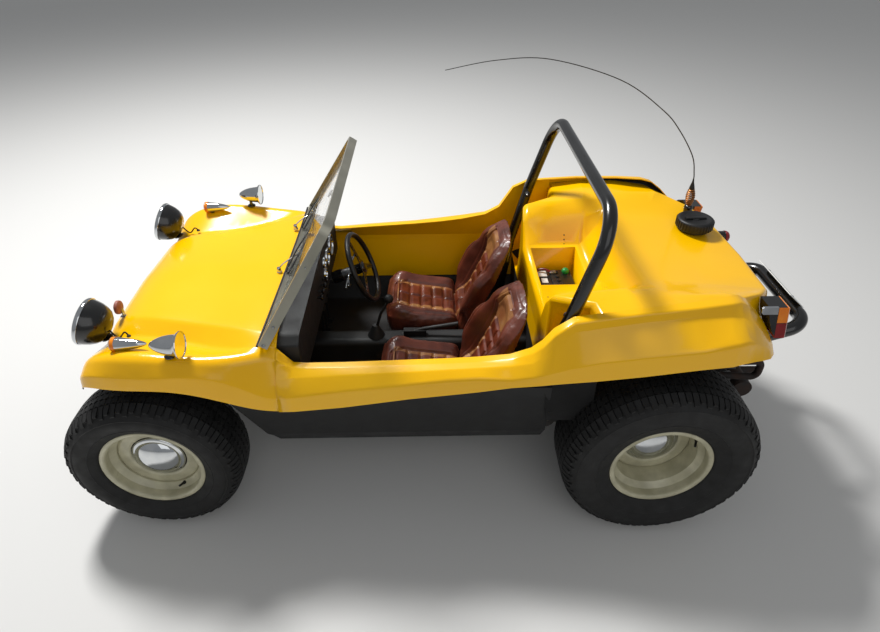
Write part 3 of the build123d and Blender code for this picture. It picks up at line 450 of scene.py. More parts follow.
def stuffed(name, rings):
    # a closed pad from nested rings of points, remeshed, blown up like foam under a tight cover
    form = bmesh.new()
    layers = [[form.verts.new(point * mm) for point in ring] for ring in rings]
    for low, high in zip(layers, layers[1:]):
        for i in range(len(low)):
            j = (i + 1) % len(low)
            form.faces.new((low[i], low[j], high[j], high[i]))
    form.faces.new(layers[0])
    form.faces.new(layers[-1])
    bmesh.ops.recalc_face_normals(form, faces=form.faces)
    pad = put(name, mesh_of(name, form))
    cover = pad.modifiers.new("cover", "REMESH")
    cover.mode = "VOXEL"
    cover.voxel_size = foam_voxel
    pad.data = plain_mesh(pad)
    pad.modifiers.clear()
    before = np.array([v.co for v in pad.data.vertices])
    foam = pad.modifiers.new("foam", "CLOTH")
    foam.settings.use_pressure = True
    foam.settings.uniform_pressure_force = foam_pressure
    foam.settings.effector_weights.gravity = 0.0
    for step in range(1, foam_steps + 1):
        scene.frame_set(step)
    blown = pad.evaluated_get(bpy.context.evaluated_depsgraph_get()).data
    way = np.array([v.co for v in blown.vertices]) - before
    length = np.linalg.norm(way, axis=1, keepdims=True)
    after = before + way * np.minimum(1.0, puff * mm / np.maximum(length, 1e-9))
    pad.modifiers.clear()
    scene.frame_set(1)
    pad.data.vertices.foreach_set("co", after.astype(np.float32).ravel())
    finer = pad.modifiers.new("finer", "SUBSURF")
    finer.levels = finer.render_levels = 1
    mesh = plain_mesh(pad)
    bpy.data.objects.remove(pad)
    return mesh


def curve_point(a, b, c, d, t):
    # a point between b and c on the smooth curve through all four
    return 0.5 * (2 * b + (c - a) * t + (2 * a - 5 * b + 4 * c - d) * t * t
                  + (3 * b - a - 3 * c + d) * t ** 3)


def smooth_loop(points, count=72, fine=12):
    # evenly spaced points on a closed smooth curve through the given ones and their mirror images
    closed = [Vector(p) for p in points + [(-u, h) for u, h in reversed(points[1:-1])]]
    dense = []
    for i in range(len(closed)):
        a, b, c, d = (closed[(i + k) % len(closed)] for k in (-1, 0, 1, 2))
        dense += [curve_point(a, b, c, d, k / fine) for k in range(fine)]
    reach = [0.0]
    for p, q in zip(dense, dense[1:] + dense[:1]):
        reach.append(reach[-1] + (q - p).length)
    spots, k = [], 0
    for i in range(count):
        want = reach[-1] * i / count
        while reach[k + 1] < want:
            k += 1
        share = (want - reach[k]) / (reach[k + 1] - reach[k])
        spots.append(dense[k].lerp(dense[(k + 1) % len(dense)], share))
    return spots


def ease(low, high, value):
    # 0 below low, 1 above high, and smooth between
    t = min(1.0, max(0.0, (value - low) / (high - low)))
    return t * t * (3 - 2 * t)


def pad_rings(loop, centre, flat, under, over):
    # rings from the middle of a pad's flat side out to its edge, then back in over its front
    shares = [1.0, 0.97, 0.92, 0.85, 0.77, 0.7, 0.62, 0.54, 0.45, 0.3, 0.15, 0.03]
    return ([[under(centre + (q - centre) * min(share, flat)) for q in loop] for share in reversed(shares)]
            + [[over(centre + (q - centre) * share, share) for q in loop] for share in shares])


# the back: rolls down both sides and over the top, with wings low down, and the middle let in
back_turn = math.radians(23)
back_foot = Vector((-45, 0, 390.6))
back_up = Vector((-math.sin(back_turn), 0, math.cos(back_turn)))
back_out = Vector((math.cos(back_turn), 0, math.sin(back_turn)))
back_loop = smooth_loop([(0, 6), (-120, 6), (-188, 12), (-206, 60), (-210, 160), (-214, 280), (-212, 380),
                         (-196, 460), (-160, 535), (-110, 578), (0, 592)])


def back_depth(u, h, share):
    roll = ease(0.50, 0.74, share) * (1 - 0.75 * ease(430, 560, h))
    wing = ease(90, 150, abs(u)) * ease(0.5, 0.8, share) * ease(70, 200, h) * (1 - ease(290, 420, h))
    return -44 + 40 * roll + 34 * wing - 26 * ease(0.86, 1.0, share) ** 2


def on_back(p, depth):
    return back_foot + back_out * depth + back_up * p.y + Vector((0, p.x, 0))


back_mesh = stuffed("seat_back_pad", pad_rings(
    back_loop, Vector((0, 300)), 0.96,
    lambda p: on_back(p, -66), lambda p, share: on_back(p, back_depth(p.x, p.y, share))))

# the cushion: a sloping bucket whose nose rolls over, flat where it rests on its base
base_rise, base_run, base_top = 54.4, 346.7, 392
slope = math.atan2(base_rise, base_run)
cushion_mid = Vector((76, 0, 520))
cushion_way = Vector((math.cos(slope), 0, math.sin(slope)))
cushion_up = Vector((-math.sin(slope), 0, math.cos(slope)))
cushion_loop = smooth_loop([(0, -168), (-150, -166), (-196, -150), (-204, -60), (-206, 60), (-202, 150),
                            (-176, 204), (-90, 216), (0, 218)])


def cushion_height(u, v, share):
    roll = ease(0.52, 0.78, abs(u) / 206) * (1 - 0.5 * ease(120, 210, v))
    return -26 + 30 * roll + 14 * ease(60, 170, v) - 46 * ease(0.84, 1.0, share) ** 2


def on_cushion(p, share):
    return (cushion_mid + cushion_way * p.y + cushion_up * cushion_height(p.x, p.y, share)
            + Vector((0, p.x, 0)))


cushion_mesh = stuffed("seat_cushion_pad", pad_rings(
    cushion_loop, Vector((0, 0)), 0.94,
    lambda p: Vector(((cushion_mid + cushion_way * p.y).x, p.x, base_top)), on_cushion))


def quilted(mesh, foot, across_up, out, seams, panel):
    # pulls the cover in along its seams, on the side that faces out, and picks each panel's leather
    count = len(mesh.vertices)
    co = np.zeros(count * 3, np.float32)
    mesh.vertices.foreach_get("co", co)
    co = co.reshape(-1, 3) / mm
    local = co - np.array(foot)
    u, h = local[:, 1], local @ np.array(across_up)
    normals = np.array([v.normal for v in mesh.vertices])
    facing = np.clip(normals @ np.array(out), 0, 1)
    pull = np.zeros(count)
    for seam, depth, width in seams:
        pull = np.maximum(pull, depth * np.exp(-(seam(u, h) / width) ** 2))
    co -= np.array(out) * (pull * facing)[:, None]
    mesh.vertices.foreach_set("co", (co * mm).astype(np.float32).ravel())
    for polygon in mesh.polygons:
        k = polygon.vertices[0]
        polygon.material_index = panel(u[k], h[k]) if facing[k] > 0.3 else 0


# each seam gives a point's distance from it, and this much more beyond the seam's ends
beyond = 1000


def edge_line(half, low, high, chamfer):
    # round a tall panel with its upper corners cut
    def away(u, h):
        side = half - np.maximum(0, h - (high - chamfer)) * 0.55
        return np.minimum(np.abs(np.abs(u) - side) + beyond * ((h < low) | (h > high)),
                          np.abs(h - high) + beyond * (np.abs(u) > side))
    return away


def rows(low, high, gap, half):
    # across the panel, a gap apart
    def away(u, h):
        outside = (np.abs(u) > half) | (h < low) | (h > high)
        return np.abs((h - low + gap / 2) % gap - gap / 2) + beyond * outside
    return away


def middle_seam(low, high):
    return lambda u, h: np.abs(u) + beyond * ((h < low) | (h > high))


def cross_seam(at, half):
    return lambda u, h: np.abs(h - at) + beyond * (np.abs(u) > half)


quilted(back_mesh, back_foot, back_up, back_out,
        [(rows(60, 372, 62, 104), 11, 9), (middle_seam(60, 372), 8, 6),
         (edge_line(108, 40, 520, 90), 10, 6), (edge_line(123, 34, 533, 96), 4, 3),
         (cross_seam(376, 104), 9, 6), (edge_line(168, 20, 566, 130), 4, 4)],
        lambda u, h: 2 if abs(u) < 84 and 50 < h < 376 else int(abs(u) < 108 and 40 < h < 520))
quilted(cushion_mesh, cushion_mid, cushion_way, cushion_up,
        [(rows(-150, 150, 60, 110), 9, 9), (middle_seam(-150, 150), 8, 6),
         (edge_line(114, -160, 168, 60), 10, 6), (edge_line(172, -165, 200, 60), 4, 4)],
        lambda u, h: 2 if abs(u) < 86 and abs(h) < 154 else int(abs(u) < 110 and abs(h) < 160))
seat_y = 285
leathers = (dark_leather, tan_leather, pillow_leather)
for name, mesh in (("seat_back", back_mesh), ("seat_cushion", cushion_mesh)):
    for side_name, side in (("_left", 1), ("_right", -1)):
        pad = bmesh.new()
        pad.from_mesh(mesh)
        seat = Matrix.Translation((0, side * seat_y, 0)) @ Matrix.Scale(1 / mm, 4)
        bmesh.ops.transform(pad, matrix=seat, verts=pad.verts)
        padded = made(name + side_name, pad, leathers, (name + "s",), 60)
    bpy.data.meshes.remove(mesh)

# The floor pan, its bulkheads and the seat bases are folded sheet steel under thick satin black
# paint, as are the levers and the forged parts of the steering. All keep the frame's shapes. The pan's
# walls are painted yellow inside, above the seats' level.
# brushed-on chassis black: satin, dusty, slightly lumpy
chassis_black = surface("satin_chassis_black", ("#070707", "#100f0e"), 0.12, 0.6, 0.012, 0.0004)


def dress(finish, *names):
    # gives nodes of the frame their finish
    for name in names:
        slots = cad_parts[name].data.materials
        slots.clear()
        slots.append(finish)


dress(chassis_black, "floor_pan", "seat_bases", "pedals", "handbrake", "gear_lever", "left_knuckle",
      "right_knuckle", "tie_rod", "front_axle")
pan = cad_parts["floor_pan"].data
pan.materials.append(gelcoat)
wall_y, yellow_low = 0.59, 0.455
for polygon in pan.polygons:
    spot, way = level @ polygon.center, level.to_3x3() @ polygon.normal
    polygon.material_index = int(abs(spot.y) > wall_y and way.y * spot.y < -0.3 and spot.z > yellow_low)
# bare cast light alloy of the gearbox: grey, dull, stained with oil
cast_alloy = surface("oily_cast_alloy", ("#4a4744", "#6a6763"), 0.08, 0.55, 0.003, 0.0006, Metallic=0.7)
dress(cast_alloy, "transaxle")

# The roll bar is one bent steel tube in gloss black, its flanges bolted to the floor, with an anchor
# for a belt on each leg. The rear hoop and its bumper feet are the same tube and paint.
# gloss black over steel tube: clean highlights, lightly scuffed
gloss_black = surface("gloss_black_paint", ("#080808", "#121212"), 0.2, 0.22, 0.01, 0.00005,
                      Coat_Weight=0.5)
dress(gloss_black, "roll_bar", "rear_bumper")
# zinc-plated steel of bolts and clips: grey, soft shine
zinc = surface("zinc_plated_steel", ("#8f9294", "#a6a8a8"), 0.02, 0.35, 0.002, 0.0, Metallic=1.0)
fittings = bmesh.new()
bolt_circle, flange_top = 34, 340.4
for side in (1, -1):
    anchor = (-446, side * 533, 962), (0.35, -side, 0.1)
    turned(fittings, [(0, 0), (13, 0), (14, 3), (14, 12), (11, 16), (0, 16)], *anchor, 24)
    turned(fittings, [(0, 15), (6, 15), (6, 19), (4, 21), (0, 21)], *anchor, 6, 1)
    for k in range(4):
        turn = math.radians(45 + 90 * k)
        turned(fittings, [(0, 0), (6, 0), (6, 5), (5, 6.5), (0, 6.5)],
               (-310 + bolt_circle * math.cos(turn), side * 470 + bolt_circle * math.sin(turn), flange_top),
               (0, 0, 1), 6, 1)
made("roll_bar_fittings", fittings, (chassis_black, zinc), crease=30)

# The windshield is one sheet of laminated glass in a channel of weathered aluminium, bedded in black
# rubber and screwed to the cowl through its two feet.
# anodised aluminium extrusion gone chalky outdoors: pale grey-beige, streaky satin
aluminium = surface("weathered_anodised_aluminium", ("#9c9a8c", "#a9a698"), 0.12, 0.34, 0.004, 0.0002,
                    Metallic=0.75)
dress(aluminium, "windshield_frame")
# laminated glass: clear, a faint green in its thickness
dress(coat("laminated_glass", Base_Color=linear("#eef6f2"), Roughness=0.02, IOR=1.45,
           Transmission_Weight=1.0, Alpha=0.35), "windshield_glass")
# black rubber extrusion: dull, soft edge
rubber_seal = surface("black_rubber_seal", ("#0e0e0e", "#1b1a19"), 0.05, 0.7, 0.004, 0.0002)


def tube(form, points, radius, sides, share=0, fine=6):
    # round tube along a smooth curve through the points; a pair of radii tapers it
    first, last = radius if isinstance(radius, tuple) else (radius, radius)
    spots = [Vector(p) for p in points]
    path = []
    for i in range(len(spots) - 1):
        a, b, c, d = (spots[min(max(i + k, 0), len(spots) - 1)] for k in (-1, 0, 1, 2))
        path += [curve_point(a, b, c, d, k / fine) for k in range(fine)]
    path.append(spots[-1])
    across = (path[1] - path[0]).orthogonal().normalized()
    rings = []
    for i, spot in enumerate(path):
        way = (path[min(i + 1, len(path) - 1)] - path[max(i - 1, 0)]).normalized()
        across = (across - way * across.dot(way)).normalized()
        r = first + (last - first) * i / (len(path) - 1)
        rings.append(circle(form, spot, across, way.cross(across), r, sides))
    faces = [form.faces.new((low[k], low[(k + 1) % sides], high[(k + 1) % sides], high[k]))
             for low, high in zip(rings, rings[1:]) for k in range(sides)]
    outwards(form, faces + [form.faces.new(rings[0]), form.faces.new(rings[-1])], share)


rake = math.radians(32.5)
pane_out = Vector((math.cos(rake), 0, math.sin(rake)))
pane_up = Vector((-math.sin(rake), 0, math.cos(rake)))
pane_foot = Vector((664.2, 0, 903.4))
leg_foot_y, leg_lean, leg_rise = 588, 152, 530
screen_trim = bmesh.new()
for side in (1, -1):
    leg_out = (Vector((0, side * leg_rise, 0)) + pane_up * leg_lean).normalized()
    for height, size in ((-28, 8), (52, 7), (300, 4)):
        leg_y = leg_foot_y - leg_lean * ((height + 50) / leg_rise)
        spot = pane_foot + Vector((0, side * leg_y, 0)) + pane_up * height - leg_out * 0.4
        turned(screen_trim, [(0, 0), (size, 0), (size, 1.5), (size * 0.7, 3.6), (0, 4.4)],
               spot, leg_out, 20)
    tube(screen_trim, [pane_foot + Vector((0, side * y, 0)) + pane_up * up + pane_out * out
                       for y, up, out in ((577, -46, 19), (400, -18, 20), (200, -3, 20), (0, 1, 20))],
         5, 10, 1)
made("windshield_trim", screen_trim, (zinc, rubber_seal))

# Two wipers lie at the foot of the glass, each a chromed spindle and wire arm with a rubber blade. The
# small mirror hangs on the glass on a black arm.
wiper_set = bmesh.new()
for y in (-312, 84):
    pivot, tip = Vector((717, y, 889)), Vector((632, y - 68, 942))
    turned(wiper_set, [(0, 0), (12, 0), (12, 4), (9, 6), (9, 20), (6, 25), (0, 26)], pivot, (0.1, 0, 1), 20)
    tube(wiper_set, [pivot + Vector((-2, 0, 22)), pivot + Vector((-22, -14, 38)),
                     tip + Vector((14, 22, 6)), tip], 3, 10)
    heel, toe = Vector((662, y + 66, 926)), Vector((604, y - 214, 970))
    tube(wiper_set, [tip, (heel + toe) / 2 + Vector((6, 0, 8))], 3, 8)
    tube(wiper_set, [heel + Vector((8, 0, 5)), heel + (toe - heel) * 0.5 + Vector((12, 0, 12)),
                     toe + Vector((8, 0, 5))], 3.2, 8, 2)
    tube(wiper_set, [heel, toe], 4.5, 6, 1, 1)
made("wiper_arms", wiper_set, (chrome, rubber_seal, gloss_black), ("wipers",))
# moulded black plastic with a fine grain: soft, even sheen
black_plastic = surface("grained_black_plastic", ("#0d0d0d", "#171717"), 0.1, 0.48, 0.0012, 0.0003)
dress(black_plastic, "rear_view_mirror")

# The two headlamps are pressed buckets in gloss black on short posts, with a chromed rim and a
# moulded lens over a silvered bowl. A short lead runs from each bucket into the body.
# pressed glass lens: clear, fluted inside
lens_glass = coat("moulded_lens_glass", Base_Color=linear("#f4f4f0"), Roughness=0.05, IOR=1.5,
                  Transmission_Weight=1.0, Alpha=0.4)
tree = lens_glass.node_tree
lens_place = node(tree, "ShaderNodeTexCoord").outputs["Object"]
flute = node(tree, "ShaderNodeTexWave", {"Vector": lens_place, "Scale": 26.0},
             bands_direction="Y", wave_profile="SIN")
ridged = node(tree, "ShaderNodeBump", {"Height": flute.outputs["Fac"], "Distance": 0.001})
tree.links.new(ridged.outputs["Normal"], tree.nodes["Principled BSDF"].inputs["Normal"])
tilt = math.radians(19)
lamp_way = Vector((math.cos(tilt), 0, math.sin(tilt)))
lamps = bmesh.new()
for side in (1, -1):
    lamp_y = side * 418
    eye = Vector((1405, lamp_y, 884))
    turned(lamps, [(0, -96), (22, -95), (44, -89), (62, -78), (75, -62), (84, -42), (89, -22), (91, -8),
                   (86, -8), (80, -30), (60, -60), (0, -70)], eye, lamp_way, 56)
    turned(lamps, [(90, -8), (94, -7), (95, -3), (94, 3), (90, 9), (84, 12), (80, 9), (84, 4), (85, -8)],
           eye, lamp_way, 56, 1, True)
    turned(lamps, [(0, -48), (30, -44), (56, -30), (72, -12), (81, 4), (83, 2), (74, -15), (56, -34),
                   (0, -52)], eye, lamp_way, 48, 1)
    turned(lamps, [(0, 27), (30, 24), (58, 17), (82, 6), (80, 3), (56, 13), (30, 20), (0, 23)],
           eye, lamp_way, 48, 2)
    turned(lamps, [(0, 0), (24, 0), (24, 5), (18, 9), (13, 12), (12, 34), (16, 44), (16, 50), (0, 50)],
           (1345, lamp_y, 800), (0.28, 0, 1), 24)
    tube(lamps, [eye - lamp_way * 92 + Vector((0, side * 10, -10)),
                 eye - lamp_way * 120 + Vector((0, side * 16, -34)),
                 (1262, side * 432, 838), (1248, side * 436, 824)], 3.2, 8, 3)
    turned(lamps, [(0, -2), (8, 0), (8, 4), (5, 7), (0, 8)], (1248, side * 436, 820), (0, 0, 1), 16, 3)
made("headlamp_pair", lamps, (gloss_black, chrome, lens_glass, rubber_seal),
     ("headlamps",))

# Chromed teardrops stand on the fenders: the signals with an amber lens to the front, and behind them
# the mirrors with their glass to the rear, each on a small black pad.
# amber acrylic: glowing, even colour
amber = surface("amber_acrylic", ("#e87a08", "#f08a10"), 0.05, 0.18, 0.01, 0.0, Coat_Weight=0.4)


def corners_of(name):
    # a node's lowest and highest corner, in millimetres on the level vehicle
    return [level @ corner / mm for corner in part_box(name)]


ahead, upright = (1, 0, 0), (0, 0, 1)
signal_z = corners_of("front_signals")[0].z + 27
signals = bmesh.new()
for side in (1, -1):
    eye = Vector((1174, side * 568, signal_z))
    turned(signals, [(0, -67), (4, -65), (9, -54), (15, -34), (20, -8), (24, 20), (26, 44), (27, 56),
                     (27, 60), (25, 61), (24, 57), (0, 55)], eye, ahead, 40)
    turned(signals, [(0, 68), (12, 67), (22, 64), (27.6, 58), (27.8, 45), (0, 45)], eye, ahead, 40, 1)
    turned(signals, [(0, -24), (15, -24), (15, -20), (9, -17), (8, 0), (0, 0)],
           eye + Vector((30, 0, 0)), upright, 24, 2)
made("fender_signals", signals, (chrome, amber, rubber_seal), ("front_signals",))
# silvered mirror glass: a clean, even reflection
mirror_glass = surface("silvered_mirror_glass", ("#d9dcdc", "#e2e4e4"), 0.1, 0.02, 0.01, 0.0, Metallic=1.0)
mirror_z = corners_of("door_mirrors")[1].z - 52
mirrors = bmesh.new()
for side in (1, -1):
    eye = Vector((1010, side * 628, mirror_z))
    turned(mirrors, [(0, 57), (7, 55), (14, 49), (22, 36), (30, 18), (35, 0), (38, -18), (40, -34),
                     (43, -44), (50, -50), (52, -54), (51, -57), (48, -57), (47, -53), (0, -53)],
           eye, ahead, 48)
    turned(mirrors, [(0, -54.5), (46, -54.5), (47, -53.5), (0, -53)], eye, ahead, 48, 1)
    turned(mirrors, [(0, -60), (20, -60), (20, -56), (14, -51), (8, -48), (7, -20), (0, -20)],
           eye + Vector((0, -side * 9, 1)), upright, 24, 2)
made("bullet_mirrors", mirrors, (chrome, mirror_glass, gloss_black), ("door_mirrors",))


def block(form, size, place, share, round_off):
    # a moulded or folded block with rounded edges
    corners = bmesh.ops.create_cube(form, size=1.0)["verts"]
    bmesh.ops.scale(form, vec=size, verts=corners)
    edges = list(dict.fromkeys(e for v in corners for e in v.link_edges))
    rounded = bmesh.ops.bevel(form, geom=edges, offset=round_off, segments=2, profile=0.5, affect="EDGES")
    faces = {f for new in rounded["faces"] for v in new.verts for f in v.link_faces}
    for face in faces:
        face.material_index = share
    bmesh.ops.translate(form, vec=place, verts=list({v for f in faces for v in f.verts}))


# The horn is a small pressed disc on a bracket behind the left headlamp.
# its red-brown enamel is bleached by the sun: chalky, with little gloss
faded_horn_paint = surface("faded_horn_paint", ("#8a4a3c", "#a4685a"), 0.02, 0.5, 0.003, 0.0002)
horn_low, horn_high = corners_of("horn")
horn_eye = Vector((1332, 300, horn_high.z - 28))
horn_disc = bmesh.new()
turned(horn_disc, [(0, -12), (12, -12), (16, -10), (24, -9), (28, -6), (28.5, 0), (28, 5), (24, 7), (22, 9),
                   (16, 9), (13, 6), (6, 6), (4, 12), (0, 12)], horn_eye, ahead, 40)
block(horn_disc, (5, 16, 40), horn_eye + Vector((-11, 0, -26)), 1, 1.0)
block(horn_disc, (26, 18, 3), (1322, 300, horn_low.z + 3), 1, 1.0)
made("horn_disc", horn_disc, (faded_horn_paint, zinc), ("horn",))

# The dashboard is a folded panel covered in black vinyl, with two dials in front of the driver and a
# row of knobs. The column is a bright metal tube with a chromed collar, a black sleeve and two stalks.
# black vinyl glued over the panel: dull, with a fine grain
vinyl = surface("black_dash_vinyl", ("#080808", "#110f0f"), 0.1, 0.6, 0.0016, 0.0004)
dress(vinyl, "dashboard")
dress(zinc, "steering_column")
# printed dial face under flat glass: black, with a clear gloss on top
dial_face = surface("dial_face", ("#101112", "#15171a"), 0.05, 0.25, 0.01, 0.0, Coat_Weight=1.0)
dials = bmesh.new()
panel_x, rearwards = 565, (-1, 0, 0)
for y, z, size in ((-330, 790, 50), (-212, 790, 40), (-120, 812, 24), (-120, 752, 24)):
    turned(dials, [(0, 1), (size - 4, 1), (size - 4, 3), (size - 2, 9), (size + 3, 9), (size + 5, 5),
                   (size + 5, 0)], (panel_x, y, z), rearwards, 40)
    turned(dials, [(0, 3.2), (size - 3, 3.2), (size - 3, 2), (0, 2)], (panel_x, y, z), rearwards, 40, 1)
for y in (-40, 10, 60, 110):
    turned(dials, [(0, 0), (5, 0), (5, 12), (12, 16), (13, 22), (10, 26), (0, 27)],
           (panel_x, y, 770), rearwards, 24, 2)
made("dash_dials", dials, (chrome, dial_face, gloss_black))
column_tilt = math.radians(22)
column_way = Vector((math.cos(column_tilt), 0, -math.sin(column_tilt)))
wheel_middle = Vector((400, -275, 690))
collar = bmesh.new()
turned(collar, [(26.5, 46), (29, 47), (30, 56), (29, 64), (26.5, 65)],
       wheel_middle, column_way, 40, 0, True)
turned(collar, [(26.5, 110), (31, 112), (33, 140), (31, 166), (26.5, 168)],
       wheel_middle, column_way, 40, 1, True)
root = wheel_middle + column_way * 80
for side in (1, -1):
    tube(collar, [root + Vector((0, side * 24, 4)), root + Vector((-6, side * 80, 12)),
                  root + Vector((-16, side * 150, 18))], (5, 4), 10)
    turned(collar, [(0, -4), (7, -3), (8, 4), (7, 22), (5, 25), (0, 26)],
           root + Vector((-15, side * 138, 17)), (-0.1, side, 0.06), 20, 1)
made("column_trim", collar, (chrome, gloss_black))

# The steering wheel has three flat spokes of black-painted alloy, drilled for lightness, and a round
# rim wrapped in leather. The spokes are cut from one sheet.
# black leather wrapped round the rim: satin, a little lighter where hands rub it
rim_leather = surface("black_rim_leather", ("#0c0b0b", "#191716"), 0.06, 0.42, 0.002, 0.0003)
wheel_up = Vector((math.sin(column_tilt), 0, math.cos(column_tilt)))
hub_reach, rim_reach, rim_grip = 40, 172, 13
spokes = bpy.data.curves.new("spokes", "CURVE")
spokes.dimensions = "2D"
spokes.fill_mode = "BOTH"
spokes.extrude = 1.6
spokes.bevel_depth = 0.6
loops = [[]]
for k in range(3):
    way = math.radians(90 + 120 * k)
    for radius, across in ((hub_reach, 17), (70, 13), (164, 12), (164, -12), (70, -13), (hub_reach, -17)):
        loops[0].append((radius * math.cos(way) + across * math.sin(way),
                         radius * math.sin(way) - across * math.cos(way)))
    for step in (-24, 0, 24):
        turn = way + math.radians(60 + step)
        loops[0].append((hub_reach * math.cos(turn), hub_reach * math.sin(turn)))
    for radius, hole in ((62, 7), (84, 7), (106, 6.2), (127, 5.4), (146, 4.6)):
        loops.append([(radius * math.cos(way) + hole * math.cos(a),
                       radius * math.sin(way) + hole * math.sin(a)) for a in round_angles(20)])
for cut in loops:
    spline = spokes.splines.new("POLY")
    spline.points.add(len(cut) - 1)
    for point, (u, v) in zip(spline.points, cut):
        point.co = (u, v, 0, 1)
    spline.use_cyclic_u = True
flat = put("spokes", spokes)
helm = bmesh.new()
helm.from_mesh(plain_mesh(flat))
bpy.data.objects.remove(flat)
lay = Matrix((Vector((0, 1, 0)), wheel_up, column_way)).transposed().to_4x4()
bmesh.ops.transform(helm, matrix=Matrix.Translation(wheel_middle) @ lay, verts=helm.verts)
bmesh.ops.remove_doubles(helm, verts=helm.verts, dist=0.01)
turned(helm, [(rim_reach + rim_grip * math.cos(a), rim_grip * math.sin(a)) for a in round_angles(20)],
       wheel_middle, column_way, 96, 1, True)
turned(helm, [(0, -13), (16, -12.5), (24, -10), (28, -5), (30, 0), (30, 8), (26, 14), (26, 40), (0, 40)],
       wheel_middle, column_way, 40)
made("drilled_steering_wheel", helm, (gloss_black, rim_leather), ("steering_wheel",),
     body="steering_wheel")

# The battery stands in its well behind the seats: a black moulded case with blank white labels, a row
# of filler caps, one large green cap, and leads clamped to its posts.
# moulded polypropylene case: black, satin
battery_case = surface("moulded_battery_case", ("#0c0c0c", "#151515"), 0.08, 0.4, 0.003, 0.0002)
# blank paper labels: off-white, matt, a little dirty
blank_label = surface("blank_paper_label", ("#c9c8c2", "#dcdbd5"), 0.02, 0.6, 0.003, 0.0001)
# green polythene cap: strong, even colour with a waxy sheen
green_cap = surface("green_polythene_cap", ("#0f7a34", "#169044"), 0.03, 0.35, 0.004, 0.0)
# red plastic jacket of the lead: dark, smooth, soiled
lead_jacket = surface("red_pvc_lead", ("#5a0f10", "#761516"), 0.03, 0.45, 0.003, 0.0)
cell = bmesh.new()
cell_x, lid_top = -545, 699
for size, place, round_off in (((176, 246, 126), (cell_x, -90, 614), 5),
                               ((180, 250, 20), (cell_x, -90, 688), 4),
                               ((64, 226, 8), (-560, -90, 700), 3)):
    block(cell, size, place, 0, round_off)
for k in range(6):
    turned(cell, [(0, 0), (11, 0), (11, 5), (9, 7), (3, 7), (2, 5), (0, 5)],
           (-560, -182 + 36.8 * k, 703), upright, 20)
turned(cell, [(0, 0), (17, 0), (18, 6), (17, 14), (13, 20), (6, 23), (0, 24)], (-606, -190, lid_top),
       upright, 28, 2)
for x, y, length, width in ((-490, -178, 44, 50), (-494, -116, 30, 40), (-500, -30, 40, 60)):
    block(cell, (length, width, 1.2), (x, y, 699.4), 1, 0.3)
for y in (-175, -5):
    turned(cell, [(0, 0), (9, 0), (8.4, 18), (0, 18.4)], (cell_x, y, lid_top), upright, 24, 3)
    block(cell, (30, 20, 12), (-541, y, 708), 3, 2)
tube(cell, [(-530, -175, 710), (-500, -190, 718), (-462, -200, 700), (-450, -204, 640)], 6, 10, 4)
tube(cell, [(-530, -5, 710), (-500, 14, 720), (-466, 40, 700), (-452, 46, 640)], 6, 10)
made("battery_with_leads", cell, (battery_case, blank_label, green_cap, zinc, lead_jacket),
     ("battery",))

# The fuel cap is a large ribbed screw cap in black plastic in the rear deck, with a bar across its
# top to turn it by. It is drawn at the origin, because its ribs are repeated round its axis.
cap_top, rib = bmesh.new(), bmesh.new()
turned(cap_top, [(0, 0), (70, 0), (74, 4), (74, 10), (82, 12), (83, 20), (83, 48), (80, 53), (74, 56),
                 (66, 56), (60, 52), (20, 51), (18, 55), (0, 55)], (0, 0, 0), upright, 72)
block(cap_top, (96, 20, 10), (0, 0, 55), 0, 4)
block(rib, (4, 7, 34), (83.4, 0, 32), 0, 1.2)
cap_top.from_mesh(ring_of(rib, 36, upright, black_plastic, "cap_ribs"))
cap_place = (-1.190, -0.200, (corners_of("fuel_cap")[0].z + 2) * mm)
made("ribbed_fuel_cap", cap_top, (black_plastic,), ("fuel_cap",),
     turn=stance @ Matrix.Translation(cap_place))

# The whip aerial stands on a black foot and a short coil spring. Its thin steel rod bows forward over
# the cockpit under its own weight.
# lacquered copper wire of the spring: dulled to brown, soft shine
copper = surface("lacquered_copper_wire", ("#8a5a34", "#b07a48"), 0.02, 0.35, 0.003, 0.0, Metallic=0.8)
whip = bmesh.new()
foot = Vector((-1215, -352, corners_of("antenna")[0].z - 12))
rise = (Vector((-1204, -368, 1180)) - foot).normalized()
turned(whip, [(0, 0), (22, 0), (23, 6), (20, 10), (21, 18), (22, 28), (17, 38), (9, 42), (0, 42)],
       foot, rise, 32)
coil, per_turn, coil_steps = [], 12, 108
for k in range(coil_steps + 1):
    turn, height = 2 * math.pi * k / per_turn, 40 + 84 * k / coil_steps
    swell = 10 + 9 * math.sin(math.pi * k / coil_steps)
    coil.append(foot + rise * height + Vector((swell * math.cos(turn), swell * math.sin(turn), 0)))
tube(whip, coil, 3.6, 8, 1, 1)
turned(whip, [(0, 118), (12, 118), (13, 124), (11, 134), (5, 156), (3, 172), (0, 172)],
       foot, rise, 28, 2)
tube(whip, [foot + rise * 165, foot + rise * 196 + Vector((2, -1, 0)), (-1181, -380, 1215),
            (-1101, -400, 1329), (-1008, -420, 1419), (-800, -440, 1545), (-480, -450, 1632),
            (-240, -450, 1630), (-15, -450, 1590)], (3, 1.6), 8, 2, 8)
made("whip_aerial", whip, (gloss_black, copper, black_plastic), ("antenna",), 40)

# The tail lamps are black wedges with a chromed top edge, an amber lens over a red one on the upright
# rear face. A small round red lamp sits on the right of the tail. The plate is blank white metal.
dress(gloss_black, "tail_lamps")
# red acrylic: deep, even colour
red_acrylic = surface("red_acrylic", ("#7a0a0c", "#980f10"), 0.05, 0.18, 0.01, 0.0, Coat_Weight=0.4)
